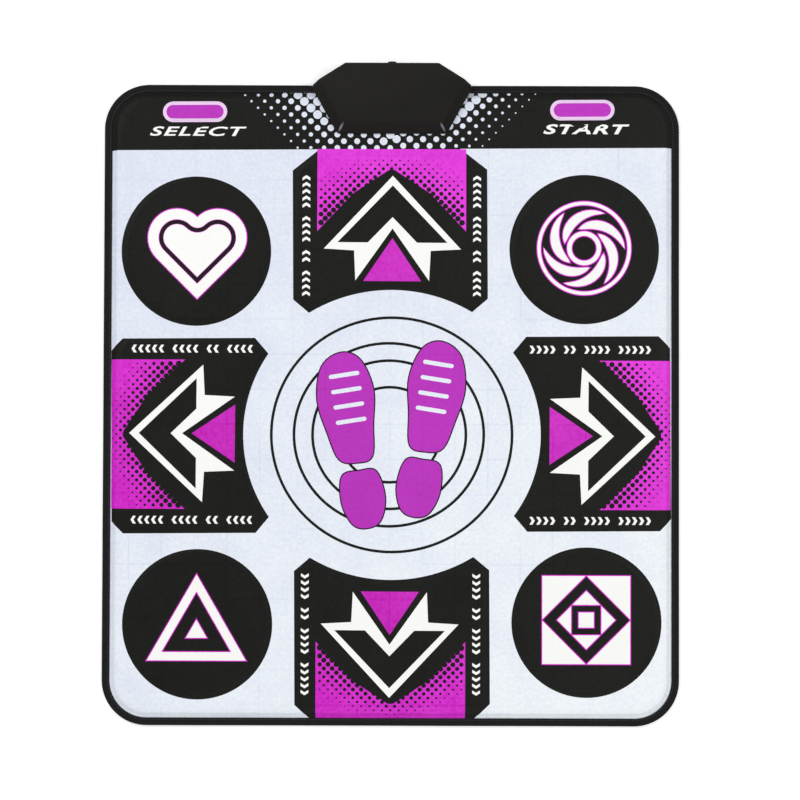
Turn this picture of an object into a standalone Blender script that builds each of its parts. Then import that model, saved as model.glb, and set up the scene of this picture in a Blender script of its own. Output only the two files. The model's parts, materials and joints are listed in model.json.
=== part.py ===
"""A dance mat controller: a soft laminated mat with ten touch zones, and a moulded control box.

Metres, +Z up. The origin is the middle of the mat's underside, and +Y points to the control box.
The mat's own width and length follow from its zones and the margins between them.
"""

import math

import bmesh
import bpy
import numpy as np

# Gap that pieces in contact keep
GAP = 0.0003

# Arrow zones: four alike panels round the centre rings
PANEL_HALF_WIDTH = 0.1385
PANEL_ARC_RADIUS = 0.209
PANEL_TIP_CHAMFER_ACROSS = 0.0225
PANEL_TIP_CHAMFER_ALONG = 0.019
PANEL_ARC_STEPS = 8

# Corner zones: round discs
DISC_RADIUS = 0.1065
DISC_STEPS = 36

# Select and start zones: small capsules in the band
CAPSULE_LENGTH = 0.0945
CAPSULE_WIDTH = 0.0318
CAPSULE_TO_EDGE = 0.0375
CAPSULE_STEPS = 6

# Margins between the zones, and to the mat's edges
PANEL_TO_DISC = 0.031
LOWER_DISC_TO_PANEL = 0.0225
UPPER_DISC_TO_PANEL = 0.0175
DISC_TO_SIDE = 0.0275
DISC_TO_BOTTOM = 0.039
DISC_TO_BAND = 0.038
BAND_LENGTH = 0.092
PANEL_TO_BAND = 0.001
PANEL_TO_SLOPE = 0.0025

# Chamfers at the outer corners of each arrow zone: along it, then across it
UP_CHAMFER = (0.029, 0.037)
DOWN_CHAMFER = (0.016, 0.016)
SIDE_CHAMFER = (0.013, 0.013)

# Thickness of each layer, from the floor up
BOTTOM_COVER = 0.0009
CUSHION_FOAM = 0.0040
CONTACT_FILM = 0.0003
SPONGE = 0.0020
TOP_COVER = 0.0008

# A zone stands proud of the cover by its travel, with a sloped collar round it
TRAVEL = 0.0016
PANEL_COLLAR = 0.008
CAPSULE_COLLAR = 0.004
PAD_CLEARANCE = 0.0005
PAD_EDGE = 0.0006
CONTACT_MARGIN = 0.006
CAPSULE_CONTACT_MARGIN = 0.003
WELL_CLEARANCE = 0.001
SPONGE_CLEARANCE = 0.0015

# Vents in the sponges: pitch, radius, and the sponge left between a vent and the rim
PANEL_VENTS = (0.052, 0.014, 0.008)
CAPSULE_VENTS = (0.018, 0.005, 0.003)
VENT_STEPS = 8

# Mat outline and its bound edge, where the skins come together
MAT_CORNER_RADIUS = 0.064
MAT_CORNER_STEPS = 8
BINDING_WIDTH = 0.012
BINDING_TAPE = 0.0009
BINDING_ROUND = 0.0006
SLOPE_WIDTH = 0.006
LOWER_SLOPE_WIDTH = 0.004
CORE_MARGIN = 0.002

# Control box in plan, its front lapping over the mat
CASE_REAR_HALF = 0.0665
CASE_WAIST_HALF = 0.1155
CASE_FRONT_HALF = 0.078
CASE_OVERHANG = 0.029
CASE_WAIST_INSIDE = 0.002
CASE_OVERLAP = 0.070
CASE_CORNER_RADIUS = 0.005
CASE_CORNER_STEPS = 3
CASE_CLEARANCE = 0.0005

# Control box in section
CASE_HEIGHT = 0.027
CASE_WALL = 0.0022
CASE_RIM = 0.0025
FRONT_BEVEL = 0.014
SIDE_BEVEL = 0.012
REAR_EDGE = 0.003
CLAMP_WIDTH = 0.012
FLANGE_WIDTH = 0.009

# Screws of the case, driven from below
CASE_SCREW_SHANK = 0.00135
CASE_SCREW_HEAD = 0.0030
CASE_SCREW_HEAD_HEIGHT = 0.0016
CASE_SCREW_RECESS = 0.0020
CASE_SCREW_IN_POST = 0.009
BOSS_WALL = 0.0028
FRONT_SCREW_X = 0.057
FRONT_SCREW_BEHIND_CLAMP = 0.008
REAR_SCREW_FROM_WAIST = 0.021
REAR_SCREW_BEHIND_WAIST = 0.002

# Circuit board and what it carries
BOARD_THICKNESS = 0.0016
BOARD_HALF_WIDTH = 0.055
BOARD_BEHIND_CLAMP = 0.014
BOARD_LENGTH = 0.056
CHIP_LENGTH = 0.026
CHIP_WIDTH = 0.0076
CHIP_HEIGHT = 0.0034
CHIP_LEG_PITCH = 0.00254
CHIP_LEG_REACH = 0.0016
CHIP_LEGS_A_SIDE = 9
CRYSTAL_LENGTH = 0.011
CRYSTAL_WIDTH = 0.0046
CRYSTAL_HEIGHT = 0.0036
CAPACITOR_RADIUS = 0.0040
CAPACITOR_HEIGHT = 0.0110
SOCKET_LENGTH = 0.0150
SOCKET_WIDTH = 0.0058
SOCKET_HEIGHT = 0.0070
SOCKET_WALL = 0.0009

# The lower film's tail, pressed on the board by a bar with a rubber strip
TAIL_HALF_WIDTH = 0.030
TAIL_ON_BOARD = 0.022
STRIP_HALF_WIDTH = 0.028
STRIP_WIDTH = 0.007
STRIP_HEIGHT = 0.0015
BAR_HALF_WIDTH = 0.040
BAR_WIDTH = 0.012
BAR_HEIGHT = 0.0030
BAR_EDGE = 0.0008
BAR_BEHIND_BOARD_EDGE = 0.012
BAR_SCREW_X = 0.035
BAR_SCREW_SHANK = 0.0013
BAR_SCREW_HEAD = 0.0028
BAR_SCREW_HEAD_HEIGHT = 0.0016
REST_RADIUS = 0.0032

# Rubber grommet in the rear wall, where the cord goes in
GROMMET_BORE = 0.0035
GROMMET_NECK = 0.0046
GROMMET_FLANGE = 0.0062
GROMMET_FLANGE_THICKNESS = 0.0020
GROMMET_EDGE = 0.0006

ROUND_STEPS = 12

# Sizes that follow: the mat in plan
DISC_X = PANEL_HALF_WIDTH + PANEL_TO_DISC + DISC_RADIUS
MAT_WIDTH = 2 * (DISC_X + DISC_RADIUS + DISC_TO_SIDE)
BELOW_CENTRE = DISC_TO_BOTTOM + 2 * DISC_RADIUS + LOWER_DISC_TO_PANEL + PANEL_HALF_WIDTH
ABOVE_CENTRE = PANEL_HALF_WIDTH + UPPER_DISC_TO_PANEL + 2 * DISC_RADIUS + DISC_TO_BAND + BAND_LENGTH
MAT_LENGTH = BELOW_CENTRE + ABOVE_CENTRE
RINGS_Y = BELOW_CENTRE - MAT_LENGTH / 2
LOWER_DISC_Y = RINGS_Y - PANEL_HALF_WIDTH - LOWER_DISC_TO_PANEL - DISC_RADIUS
UPPER_DISC_Y = RINGS_Y + PANEL_HALF_WIDTH + UPPER_DISC_TO_PANEL + DISC_RADIUS
CAPSULE_Y = MAT_LENGTH / 2 - CAPSULE_TO_EDGE

# Insets from the mat's outline: the skins' edge inside the binding, the slope, and the core
SKIN_INSET = BINDING_TAPE + GAP
SLOPE_FOOT = BINDING_WIDTH + 2 * GAP
SLOPE_HEAD = SLOPE_FOOT + SLOPE_WIDTH
CORE_INSET = SLOPE_HEAD + CORE_MARGIN

# Outer end of each arrow zone, from the rings' centre
UP_END = ABOVE_CENTRE - BAND_LENGTH - PANEL_TO_BAND
DOWN_END = BELOW_CENTRE - SLOPE_HEAD - PANEL_TO_SLOPE
SIDE_END = MAT_WIDTH / 2 - SLOPE_HEAD - PANEL_TO_SLOPE

# Levels
CUSHION_Z = BOTTOM_COVER + GAP
LOWER_FILM_Z = CUSHION_Z + CUSHION_FOAM + GAP
CORE_Z = LOWER_FILM_Z + CONTACT_FILM + GAP
UPPER_FILM_Z = CORE_Z + SPONGE + GAP
COVER_Z = UPPER_FILM_Z + CONTACT_FILM + GAP
COVER_TOP = COVER_Z + TOP_COVER
PAD_TOP = COVER_TOP + TRAVEL
LOWER_SKIN_AT_EDGE = BINDING_TAPE + GAP + BOTTOM_COVER
UPPER_SKIN_AT_EDGE = LOWER_SKIN_AT_EDGE + GAP + TOP_COVER
BINDING_TOP = UPPER_SKIN_AT_EDGE + GAP + BINDING_TAPE

# Control box: places and levels
CASE_REAR_Y = MAT_LENGTH / 2 + CASE_OVERHANG
CASE_WAIST_Y = MAT_LENGTH / 2 - CASE_WAIST_INSIDE
CASE_FRONT_Y = MAT_LENGTH / 2 - CASE_OVERLAP
CLAMP_END_Y = MAT_LENGTH / 2 - CORE_INSET - CORE_MARGIN
CLAMP_INNER_Y = CASE_FRONT_Y + CLAMP_WIDTH
LEDGE_TOP = LOWER_FILM_Z - GAP
CASE_SEAM = COVER_TOP + GAP
BEVEL_FOOT = CASE_SEAM + CASE_RIM
CASE_CEILING = CASE_HEIGHT - CASE_WALL
GROMMET_Z = (CASE_SEAM + CASE_HEIGHT - REAR_EDGE - CASE_WALL / 2) / 2
BOARD_TOP = LEDGE_TOP
BOARD_Z = BOARD_TOP - BOARD_THICKNESS
REST_TOP = BOARD_Z - GAP
BOARD_FRONT_Y = CLAMP_INNER_Y + BOARD_BEHIND_CLAMP
ON_BOARD = BOARD_TOP + GAP
STRIP_Z = LOWER_FILM_Z + CONTACT_FILM + GAP
BAR_Z = STRIP_Z + STRIP_HEIGHT + GAP
BAR_Y = BOARD_FRONT_Y + BAR_BEHIND_BOARD_EDGE
SCREW_HOLE_GAP = 0.00035
CASE_SCREW_HOLE = CASE_SCREW_SHANK + SCREW_HOLE_GAP
BAR_SCREW_HOLE = BAR_SCREW_SHANK + SCREW_HOLE_GAP
BOSS_RADIUS = CASE_SCREW_HOLE + BOSS_WALL

# Colour, roughness and metallic value of each material
MATERIALS = {
    "printed_cover": ((0.79, 0.85, 0.92), 0.45, 0.0),
    "pad_print": ((0.60, 0.06, 0.55), 0.45, 0.0),
    "disc_print": ((0.020, 0.019, 0.023), 0.45, 0.0),
    "binding": ((0.016, 0.016, 0.017), 0.8, 0.0),
    "underside": ((0.03, 0.03, 0.032), 0.9, 0.0),
    "foam": ((0.32, 0.33, 0.35), 0.95, 0.0),
    "sponge": ((0.75, 0.74, 0.68), 0.95, 0.0),
    "film": ((0.55, 0.56, 0.58), 0.35, 0.0),
    "contact": ((0.05, 0.05, 0.055), 0.6, 0.0),
    "case": ((0.018, 0.017, 0.014), 0.5, 0.0),
    "board": ((0.02, 0.16, 0.07), 0.45, 0.0),
    "chip": ((0.015, 0.015, 0.016), 0.5, 0.0),
    "can": ((0.62, 0.62, 0.60), 0.3, 1.0),
    "socket": ((0.80, 0.78, 0.70), 0.5, 0.0),
    "screw": ((0.50, 0.50, 0.50), 0.35, 1.0),
    "rubber": ((0.02, 0.02, 0.02), 0.85, 0.0),
}


# Outlines: closed lists of points in plan, counter-clockwise


def arc(centre, radius, start, end, steps):
    """Points along an arc, both ends included, angles in degrees."""
    angles = np.radians(np.linspace(start, end, steps + 1))
    return [(centre[0] + radius * math.cos(a), centre[1] + radius * math.sin(a)) for a in angles]


def circle(radius, steps):
    return arc((0, 0), radius, 0, 360, steps)[:-1]


def rectangle(x0, x1, y0, y1):
    return [(x0, y0), (x1, y0), (x1, y1), (x0, y1)]


def rounded_rectangle(width, length, radius, steps):
    points = []
    corners = ((1, -1, -90), (1, 1, 0), (-1, 1, 90), (-1, -1, 180))
    for x, y, start in corners:
        centre = (x * (width / 2 - radius), y * (length / 2 - radius))
        points += arc(centre, radius, start, start + 90, steps)
    return points


def capsule(length, width, steps):
    radius = width / 2
    centre = length / 2 - radius
    return arc((centre, 0), radius, -90, 90, steps) + arc((-centre, 0), radius, 90, 270, steps)


def arrow_panel(end, chamfer):
    """A panel that points along +X from the rings' centre, with a concave inner end."""
    along, across = chamfer
    tip = PANEL_HALF_WIDTH - PANEL_TIP_CHAMFER_ACROSS
    tip_angle = math.degrees(math.asin(tip / PANEL_ARC_RADIUS))
    shoulder = math.sqrt(PANEL_ARC_RADIUS**2 - tip**2) + PANEL_TIP_CHAMFER_ALONG
    half = [
        (shoulder, -PANEL_HALF_WIDTH),
        (end - along, -PANEL_HALF_WIDTH),
        (end, across - PANEL_HALF_WIDTH),
    ]
    mirrored = [(x, -y) for x, y in reversed(half)]
    return half + mirrored + arc((0, 0), PANEL_ARC_RADIUS, tip_angle, -tip_angle, PANEL_ARC_STEPS)


def inset(outline, distance):
    """The outline moved inwards, each edge by its own distance if a list is given."""
    points = np.array(outline, float)
    distances = np.broadcast_to(distance, len(points))
    along = np.roll(points, -1, axis=0) - points
    along /= np.linalg.norm(along, axis=1)[:, None]
    inward = np.stack([-along[:, 1], along[:, 0]], axis=1)
    moved = []
    for i, point in enumerate(points):
        sides = np.array([inward[i - 1], inward[i]])
        shifts = np.array([distances[i - 1], distances[i]])
        if abs(np.linalg.det(sides)) < 1e-6:
            moved.append(tuple(point + shifts[1] * inward[i]))
        else:
            moved.append(tuple(point + np.linalg.solve(sides, shifts)))
    return moved


def turned(outline, degrees):
    a = math.radians(degrees)
    return [(x * math.cos(a) - y * math.sin(a), x * math.sin(a) + y * math.cos(a)) for x, y in outline]


def moved(outline, place):
    return [(x + place[0], y + place[1]) for x, y in outline]


def rounded(outline, radius, steps):
    """The outline with each convex corner turned into an arc."""
    points = np.array(outline, float)
    result = []
    for i, corner in enumerate(points):
        back = points[i - 1] - corner
        ahead = points[(i + 1) % len(points)] - corner
        back /= np.linalg.norm(back)
        ahead /= np.linalg.norm(ahead)
        half = math.acos(np.clip(back @ ahead, -1, 1)) / 2
        middle = back + ahead
        centre = corner + middle / np.linalg.norm(middle) * radius / math.sin(half)
        first = corner + back * radius / math.tan(half) - centre
        sweep = math.pi - 2 * half
        for step in range(steps + 1):
            a = sweep * step / steps
            x = first[0] * math.cos(a) - first[1] * math.sin(a)
            y = first[0] * math.sin(a) + first[1] * math.cos(a)
            result.append((centre[0] + x, centre[1] + y))
    return result


def distance_inside(outline, point):
    """How far the point lies inside the outline, and less than zero outside."""
    a = np.array(outline, float)
    b = np.roll(a, -1, axis=0)
    p = np.array(point, float)
    edge = b - a
    t = np.clip(((p - a) * edge).sum(1) / (edge * edge).sum(1), 0, 1)
    nearest = np.linalg.norm(p - a - t[:, None] * edge, axis=1).min()
    crosses = (a[:, 1] > p[1]) != (b[:, 1] > p[1])
    rise = np.where(crosses, b[:, 1] - a[:, 1], 1)
    at = a[:, 0] + (p[1] - a[:, 1]) * edge[:, 0] / rise
    return nearest if (crosses & (p[0] < at)).sum() % 2 else -nearest


# Meshes


def skin(bm, levels, closed=False):
    """Rings of faces between outlines with as many points each; gives each level's points."""
    loops = [[bm.verts.new((x, y, z)) for x, y in outline] for outline, z in levels]
    pairs = list(zip(loops, loops[1:]))
    if closed:
        pairs.append((loops[-1], loops[0]))
    for first, second in pairs:
        for i in range(len(first)):
            bm.faces.new((first[i - 1], first[i], second[i], second[i - 1]))
    return loops


def stack(bm, levels):
    """A solid body from outlines at rising levels, closed at both ends."""
    loops = skin(bm, levels)
    bm.faces.new(loops[0])
    bm.faces.new(loops[-1])


def fill(bm, loops):
    """Faces over the area inside the first loop and outside the others."""
    edges = []
    for points in loops:
        for i in range(len(points)):
            pair = (points[i - 1], points[i])
            edges.append(bm.edges.get(pair) or bm.edges.new(pair))
    bmesh.ops.triangle_fill(bm, use_beauty=True, use_dissolve=False, edges=edges)


def thicken(bm, thickness):
    """Gives an open sheet its thickness, downwards."""
    bmesh.ops.recalc_face_normals(bm, faces=bm.faces[:])
    made = bmesh.ops.extrude_face_region(bm, geom=bm.faces[:], use_keep_orig=True)
    lower = [part for part in made["geom"] if isinstance(part, bmesh.types.BMVert)]
    bmesh.ops.translate(bm, verts=lower, vec=(0, 0, -thickness))


def material(name):
    made = bpy.data.materials.get(name)
    if made is None:
        colour, roughness, metallic = MATERIALS[name]
        made = bpy.data.materials.new(name)
        made.use_nodes = True
        shader = made.node_tree.nodes["Principled BSDF"]
        shader.inputs["Base Color"].default_value = (*colour, 1)
        shader.inputs["Roughness"].default_value = roughness
        shader.inputs["Metallic"].default_value = metallic
    return made


def make_object(name, bm, material_name, place=(0, 0, 0), parent=None):
    bmesh.ops.recalc_face_normals(bm, faces=bm.faces[:])
    mesh = bpy.data.meshes.new(name)
    bm.to_mesh(mesh)
    bm.free()
    obj = bpy.data.objects.new(name, mesh)
    bpy.context.collection.objects.link(obj)
    mesh.materials.append(material(material_name))
    obj.location = place
    obj.parent = parent
    return obj


def body(name, levels, material_name, place=(0, 0, 0), parent=None):
    """One object that is a stack of levels."""
    bm = bmesh.new()
    stack(bm, levels)
    return make_object(name, bm, material_name, place, parent)


def smooth(obj):
    obj.data.shade_smooth()
    obj.data.set_sharp_from_angle(angle=math.radians(35))
    return obj


def tool(name, bodies):
    """A hidden object of one or more stacks, for a Boolean."""
    bm = bmesh.new()
    for levels in bodies:
        stack(bm, levels)
    obj = make_object(name, bm, "case")
    obj.hide_render = True
    obj.display_type = "WIRE"
    return obj


def combine(obj, other, operation):
    modifier = obj.modifiers.new(other.name, "BOOLEAN")
    modifier.operation = operation
    modifier.solver = "EXACT"
    modifier.object = other


def prism(outline, low, high):
    return [(outline, low), (outline, high)]


def slab(outline, low, high, edge):
    """Levels of a flat piece whose upper edge is rounded off."""
    return [(outline, low), (outline, high - edge), (inset(outline, edge), high)]


# Where each zone lies, and its outline about its own centre


def zones():
    """Name of each zone: its outline, its centre, its collar, its contact's margin and its vents."""
    found = {}
    arrows = {
        "up": (90, UP_END, UP_CHAMFER),
        "down": (-90, DOWN_END, DOWN_CHAMFER),
        "left": (180, SIDE_END, SIDE_CHAMFER),
        "right": (0, SIDE_END, SIDE_CHAMFER),
    }
    for name, (angle, end, chamfer) in arrows.items():
        middle = (PANEL_ARC_RADIUS + end) / 2
        outline = turned(moved(arrow_panel(end, chamfer), (-middle, 0)), angle)
        x, y = turned([(middle, 0)], angle)[0]
        found[name] = (outline, (x, y + RINGS_Y), PANEL_COLLAR, CONTACT_MARGIN, PANEL_VENTS)
    for row, y in (("upper", UPPER_DISC_Y), ("lower", LOWER_DISC_Y)):
        for side, x in (("left", -DISC_X), ("right", DISC_X)):
            outline = circle(DISC_RADIUS, DISC_STEPS)
            found[f"{row}_{side}"] = (outline, (x, y), PANEL_COLLAR, CONTACT_MARGIN, PANEL_VENTS)
    for name, x in (("select", -DISC_X), ("start", DISC_X)):
        outline = capsule(CAPSULE_LENGTH, CAPSULE_WIDTH, CAPSULE_STEPS)
        margins = (CAPSULE_COLLAR, CAPSULE_CONTACT_MARGIN, CAPSULE_VENTS)
        found[name] = (outline, (x, CAPSULE_Y), *margins)
    return found


def vent_centres(outline, vents):
    """A lattice of vents about the outline's centre, those that keep the rim."""
    pitch, radius, rim = vents
    reach = max(max(abs(x), abs(y)) for x, y in outline)
    count = int(reach / pitch) + 1
    steps = np.arange(-count, count + 0.5, 0.5) * pitch
    bounds = np.array(outline)
    rows = max(1, int((np.ptp(bounds[:, 1]) - 2 * rim) // pitch))
    columns = max(1, int((np.ptp(bounds[:, 0]) - 2 * rim) // pitch))
    xs = [x for x in steps if (round(2 * x / pitch) + columns + 1) % 2 == 0]
    ys = [y for y in steps if (round(2 * y / pitch) + rows + 1) % 2 == 0]
    return [(x, y) for x in xs for y in ys if distance_inside(outline, (x, y)) >= radius + rim]


# The mat's layers


def perforated(name, outline, windows, top, thickness, material_name, place=(0, 0, 0)):
    """A flat sheet with holes through it."""
    bm = bmesh.new()
    loops = [[bm.verts.new((x, y, top)) for x, y in points] for points in [outline, *windows]]
    fill(bm, loops)
    thicken(bm, thickness)
    return make_object(name, bm, material_name, place)


def make_top_cover(mat, found):
    """The printed skin: bound edge, slope up to the flat, and a collar round each window."""
    bm = bmesh.new()
    levels = [
        (inset(mat, SKIN_INSET), UPPER_SKIN_AT_EDGE),
        (inset(mat, SLOPE_FOOT), UPPER_SKIN_AT_EDGE),
        (inset(mat, SLOPE_HEAD), COVER_TOP),
    ]
    edges_of_flat = [skin(bm, levels)[-1]]
    for outline, centre, collar, _, _ in found.values():
        foot = moved(outline, centre)
        head = moved(inset(outline, collar), centre)
        edges_of_flat.append(skin(bm, [(foot, COVER_TOP), (head, PAD_TOP)])[0])
    fill(bm, edges_of_flat)
    thicken(bm, TOP_COVER)
    return make_object("top_cover", bm, "printed_cover")


def make_bottom_cover(mat):
    """The non-slip skin, lifted at its edge by the binding's lower lip."""
    bm = bmesh.new()
    slope_foot = SLOPE_FOOT + LOWER_SLOPE_WIDTH
    levels = [
        (inset(mat, SKIN_INSET), LOWER_SKIN_AT_EDGE),
        (inset(mat, SLOPE_FOOT), LOWER_SKIN_AT_EDGE),
        (inset(mat, slope_foot), BOTTOM_COVER),
    ]
    fill(bm, [skin(bm, levels)[-1]])
    thicken(bm, BOTTOM_COVER)
    return make_object("bottom_cover", bm, "underside")


def make_binding(mat):
    """A tape folded round the edges of both skins."""
    lip = inset(mat, BINDING_WIDTH)
    fold = inset(mat, BINDING_ROUND)
    inside = inset(mat, BINDING_TAPE)
    levels = [
        (lip, BINDING_TOP),
        (fold, BINDING_TOP),
        (mat, BINDING_TOP - BINDING_ROUND),
        (mat, BINDING_ROUND),
        (fold, 0),
        (lip, 0),
        (lip, BINDING_TAPE),
        (inside, BINDING_TAPE),
        (inside, BINDING_TOP - BINDING_TAPE),
        (lip, BINDING_TOP - BINDING_TAPE),
    ]
    bm = bmesh.new()
    skin(bm, levels, closed=True)
    return make_object("edge_binding", bm, "binding")


def make_zone(name, outline, centre, collar, margin, vents):
    """A zone's moving pad and contact, and the sponge that they press on."""
    empty = bpy.data.objects.new(f"{name}_zone", None)
    bpy.context.collection.objects.link(empty)
    empty.location = (*centre, COVER_TOP)
    pad = inset(outline, collar + PAD_CLEARANCE)
    colour = "disc_print" if "_" in name else "pad_print"
    body(f"{name}_pad", slab(pad, COVER_Z - COVER_TOP, TRAVEL, PAD_EDGE), colour, parent=empty)
    contact = prism(inset(pad, margin), UPPER_FILM_Z - COVER_TOP, UPPER_FILM_Z + CONTACT_FILM - COVER_TOP)
    body(f"{name}_contact", contact, "contact", parent=empty)
    sponge = inset(outline, collar - WELL_CLEARANCE + SPONGE_CLEARANCE)
    holes = [moved(circle(vents[1], VENT_STEPS), place) for place in vent_centres(sponge, vents)]
    place = (*centre, CORE_Z + SPONGE)
    perforated(f"{name}_sponge", sponge, holes, 0, SPONGE, "sponge", place)


def make_mat(mat, found, tools):
    core = inset(mat, CORE_INSET)
    wells = [
        moved(inset(outline, collar - WELL_CLEARANCE), centre)
        for outline, centre, collar, _, _ in found.values()
    ]
    spacer_top = COVER_Z - GAP
    layers = {
        "case": [
            make_bottom_cover(mat),
            body("cushion_foam", prism(core, CUSHION_Z, CUSHION_Z + CUSHION_FOAM), "foam"),
            make_binding(mat),
        ],
        "mouth": [
            make_top_cover(mat, found),
            perforated("spacer_foam", core, wells, spacer_top, spacer_top - CORE_Z, "foam"),
        ],
        "film_mouth": [
            body("lower_contact_film", prism(core, LOWER_FILM_Z, LOWER_FILM_Z + CONTACT_FILM), "film"),
        ],
    }
    for cutter, pieces in layers.items():
        for piece in pieces:
            combine(piece, tools[cutter], "DIFFERENCE")
    for name, zone in found.items():
        make_zone(name, *zone)


# The control box


def case_plan(front=0.0, side=0.0, rear=0.0):
    """The box's hexagon in plan, with its front, front-side and rear edges moved inwards."""
    right = [(CASE_FRONT_HALF, CASE_FRONT_Y), (CASE_WAIST_HALF, CASE_WAIST_Y), (CASE_REAR_HALF, CASE_REAR_Y)]
    left = [(-x, y) for x, y in reversed(right)]
    return inset(right + left, [side, rear, rear, rear, side, front])


def side_x(plan, y):
    """Half the plan's width at y, between its front corner and its waist."""
    (x0, y0), (x1, y1) = plan[0], plan[1]
    return x0 + (y - y0) * (x1 - x0) / (y1 - y0)


def mouth_plan(wall, rear_y):
    """What is open above the ledge: all but the clamped strip at the front and sides."""
    outer = case_plan(wall, wall, wall)
    inner = case_plan(CLAMP_WIDTH, CLAMP_WIDTH, wall)
    right = [
        inner[0],
        (side_x(inner, CLAMP_END_Y), CLAMP_END_Y),
        (side_x(outer, CLAMP_END_Y), CLAMP_END_Y),
        outer[1],
    ]
    if rear_y is None:
        right.append(outer[2])
    else:
        right.append((outer[1][0], rear_y))
    return right + [(-x, y) for x, y in reversed(right)]


def film_mouth_plan(wall, rear_y):
    """The same, with the film's tail left standing in the middle."""
    points = mouth_plan(wall, rear_y)
    tail_y = BOARD_FRONT_Y + TAIL_ON_BOARD
    tail = [(-TAIL_HALF_WIDTH, points[0][1]), (-TAIL_HALF_WIDTH, tail_y)]
    return points + tail + [(-x, y) for x, y in reversed(tail)]


def make_tools():
    """The cutters that make room for the box in the mat's layers."""
    beyond = MAT_LENGTH / 2 + CASE_WALL
    low = -CASE_WALL
    plans = {
        "case": case_plan(-CASE_CLEARANCE, -CASE_CLEARANCE, -CASE_CLEARANCE),
        "mouth": mouth_plan(-CASE_CLEARANCE, beyond),
        "film_mouth": film_mouth_plan(-CASE_CLEARANCE, beyond),
    }
    return {name: tool(f"{name}_cutter", [prism(plan, low, CASE_HEIGHT)]) for name, plan in plans.items()}


def case_screw_places():
    front_y = CLAMP_INNER_Y + FRONT_SCREW_BEHIND_CLAMP
    rear = (CASE_WAIST_HALF - REAR_SCREW_FROM_WAIST, CASE_WAIST_Y + REAR_SCREW_BEHIND_WAIST)
    right = [(FRONT_SCREW_X, front_y), rear]
    return right + [(-x, y) for x, y in reversed(right)]


def rest_places():
    """Where the board rests: two screwed rests under the bar, and two plain ones behind."""
    rear_y = BOARD_FRONT_Y + BOARD_LENGTH - REST_RADIUS
    rear_x = BOARD_HALF_WIDTH - 2 * REST_RADIUS
    return [(BAR_SCREW_X, BAR_Y), (-BAR_SCREW_X, BAR_Y)], [(rear_x, rear_y), (-rear_x, rear_y)]


def round_at(radius, place):
    return moved(circle(radius, ROUND_STEPS), place)


def make_lower_case():
    """A tray with a ledge for the mat's skins, four screw bosses and the board's rests."""
    plan = rounded(case_plan(), CASE_CORNER_RADIUS, CASE_CORNER_STEPS)
    case = body("lower_case", prism(plan, 0, COVER_TOP), "case")
    floor = CASE_WALL
    inside = mouth_plan(CASE_WALL, None)
    combine(case, tool("case_hollow", [prism(inside, floor, CASE_HEIGHT)]), "DIFFERENCE")
    strip = rectangle(-CASE_WAIST_HALF, CASE_WAIST_HALF, CASE_FRONT_Y - CLAMP_WIDTH, CLAMP_END_Y + GAP)
    combine(case, tool("clamped_strip", [prism(strip, LEDGE_TOP, CASE_HEIGHT)]), "DIFFERENCE")
    bosses = [prism(round_at(BOSS_RADIUS, place), floor / 2, COVER_TOP) for place in case_screw_places()]
    screwed, plain = rest_places()
    rests = [prism(round_at(REST_RADIUS, place), floor / 2, REST_TOP) for place in screwed + plain]
    combine(case, tool("bosses_and_rests", bosses + rests), "UNION")
    recess = CASE_SCREW_HEAD + SCREW_HOLE_GAP
    holes = []
    for place in case_screw_places():
        head = round_at(recess, place)
        shank = round_at(CASE_SCREW_HOLE, place)
        seat = CASE_SCREW_RECESS
        holes.append([(head, -floor), (head, seat), (shank, seat), (shank, CASE_HEIGHT)])
    for place in screwed:
        holes.append(prism(round_at(BAR_SCREW_HOLE, place), floor / 2, CASE_HEIGHT))
    combine(case, tool("lower_case_holes", holes), "DIFFERENCE")
    return case


def make_upper_case():
    """The moulded cover: a rim, wide bevels at the front and sides, and steep rear walls."""

    def plan(rise, wall=0.0, rear=0.0):
        points = case_plan(rise * FRONT_BEVEL + wall, rise * SIDE_BEVEL + wall, rear + wall)
        return rounded(points, CASE_CORNER_RADIUS, CASE_CORNER_STEPS)

    rear_edge_z = CASE_HEIGHT - REAR_EDGE
    rise = (rear_edge_z - BEVEL_FOOT) / (CASE_HEIGHT - BEVEL_FOOT)
    halfway = (1 + rise) / 2
    outer = [
        (plan(0), CASE_SEAM),
        (plan(0), BEVEL_FOOT),
        (plan(rise), rear_edge_z),
        (plan(halfway, rear=REAR_EDGE / 4), CASE_HEIGHT - REAR_EDGE / 2),
        (plan(1, rear=REAR_EDGE), CASE_HEIGHT),
    ]
    flange = rounded(case_plan(FLANGE_WIDTH, FLANGE_WIDTH, CASE_WALL), CASE_CORNER_RADIUS, CASE_CORNER_STEPS)
    inner = [
        (flange, CASE_SEAM),
        (flange, BEVEL_FOOT),
        (plan(0, CASE_WALL), BEVEL_FOOT + CASE_WALL),
        (plan(rise, CASE_WALL), rear_edge_z - CASE_WALL / 2),
        (plan(rise, CASE_WALL, rear=REAR_EDGE / 4), CASE_CEILING),
    ]
    bm = bmesh.new()
    loops = skin(bm, outer[::-1] + inner)
    bm.faces.new(loops[0])
    bm.faces.new(loops[-1])
    case = make_object("upper_case", bm, "case")
    posts = []
    bores = []
    tip = CASE_SEAM + CASE_SCREW_IN_POST + GAP
    for place in case_screw_places():
        posts.append(prism(round_at(BOSS_RADIUS, place), CASE_SEAM, CASE_CEILING + CASE_WALL / 2))
        bores.append(prism(round_at(CASE_SCREW_HOLE, place), 0, tip))
    combine(case, tool("posts", posts), "UNION")
    combine(case, tool("post_bores", bores), "DIFFERENCE")
    hole = tool("grommet_hole", [prism(circle(GROMMET_NECK + GAP, ROUND_STEPS), -CASE_WALL, 2 * CASE_WALL)])
    hole.location = (0, CASE_REAR_Y, GROMMET_Z)
    hole.rotation_euler = (math.radians(90), 0, 0)
    combine(case, hole, "DIFFERENCE")
    return case


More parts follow.
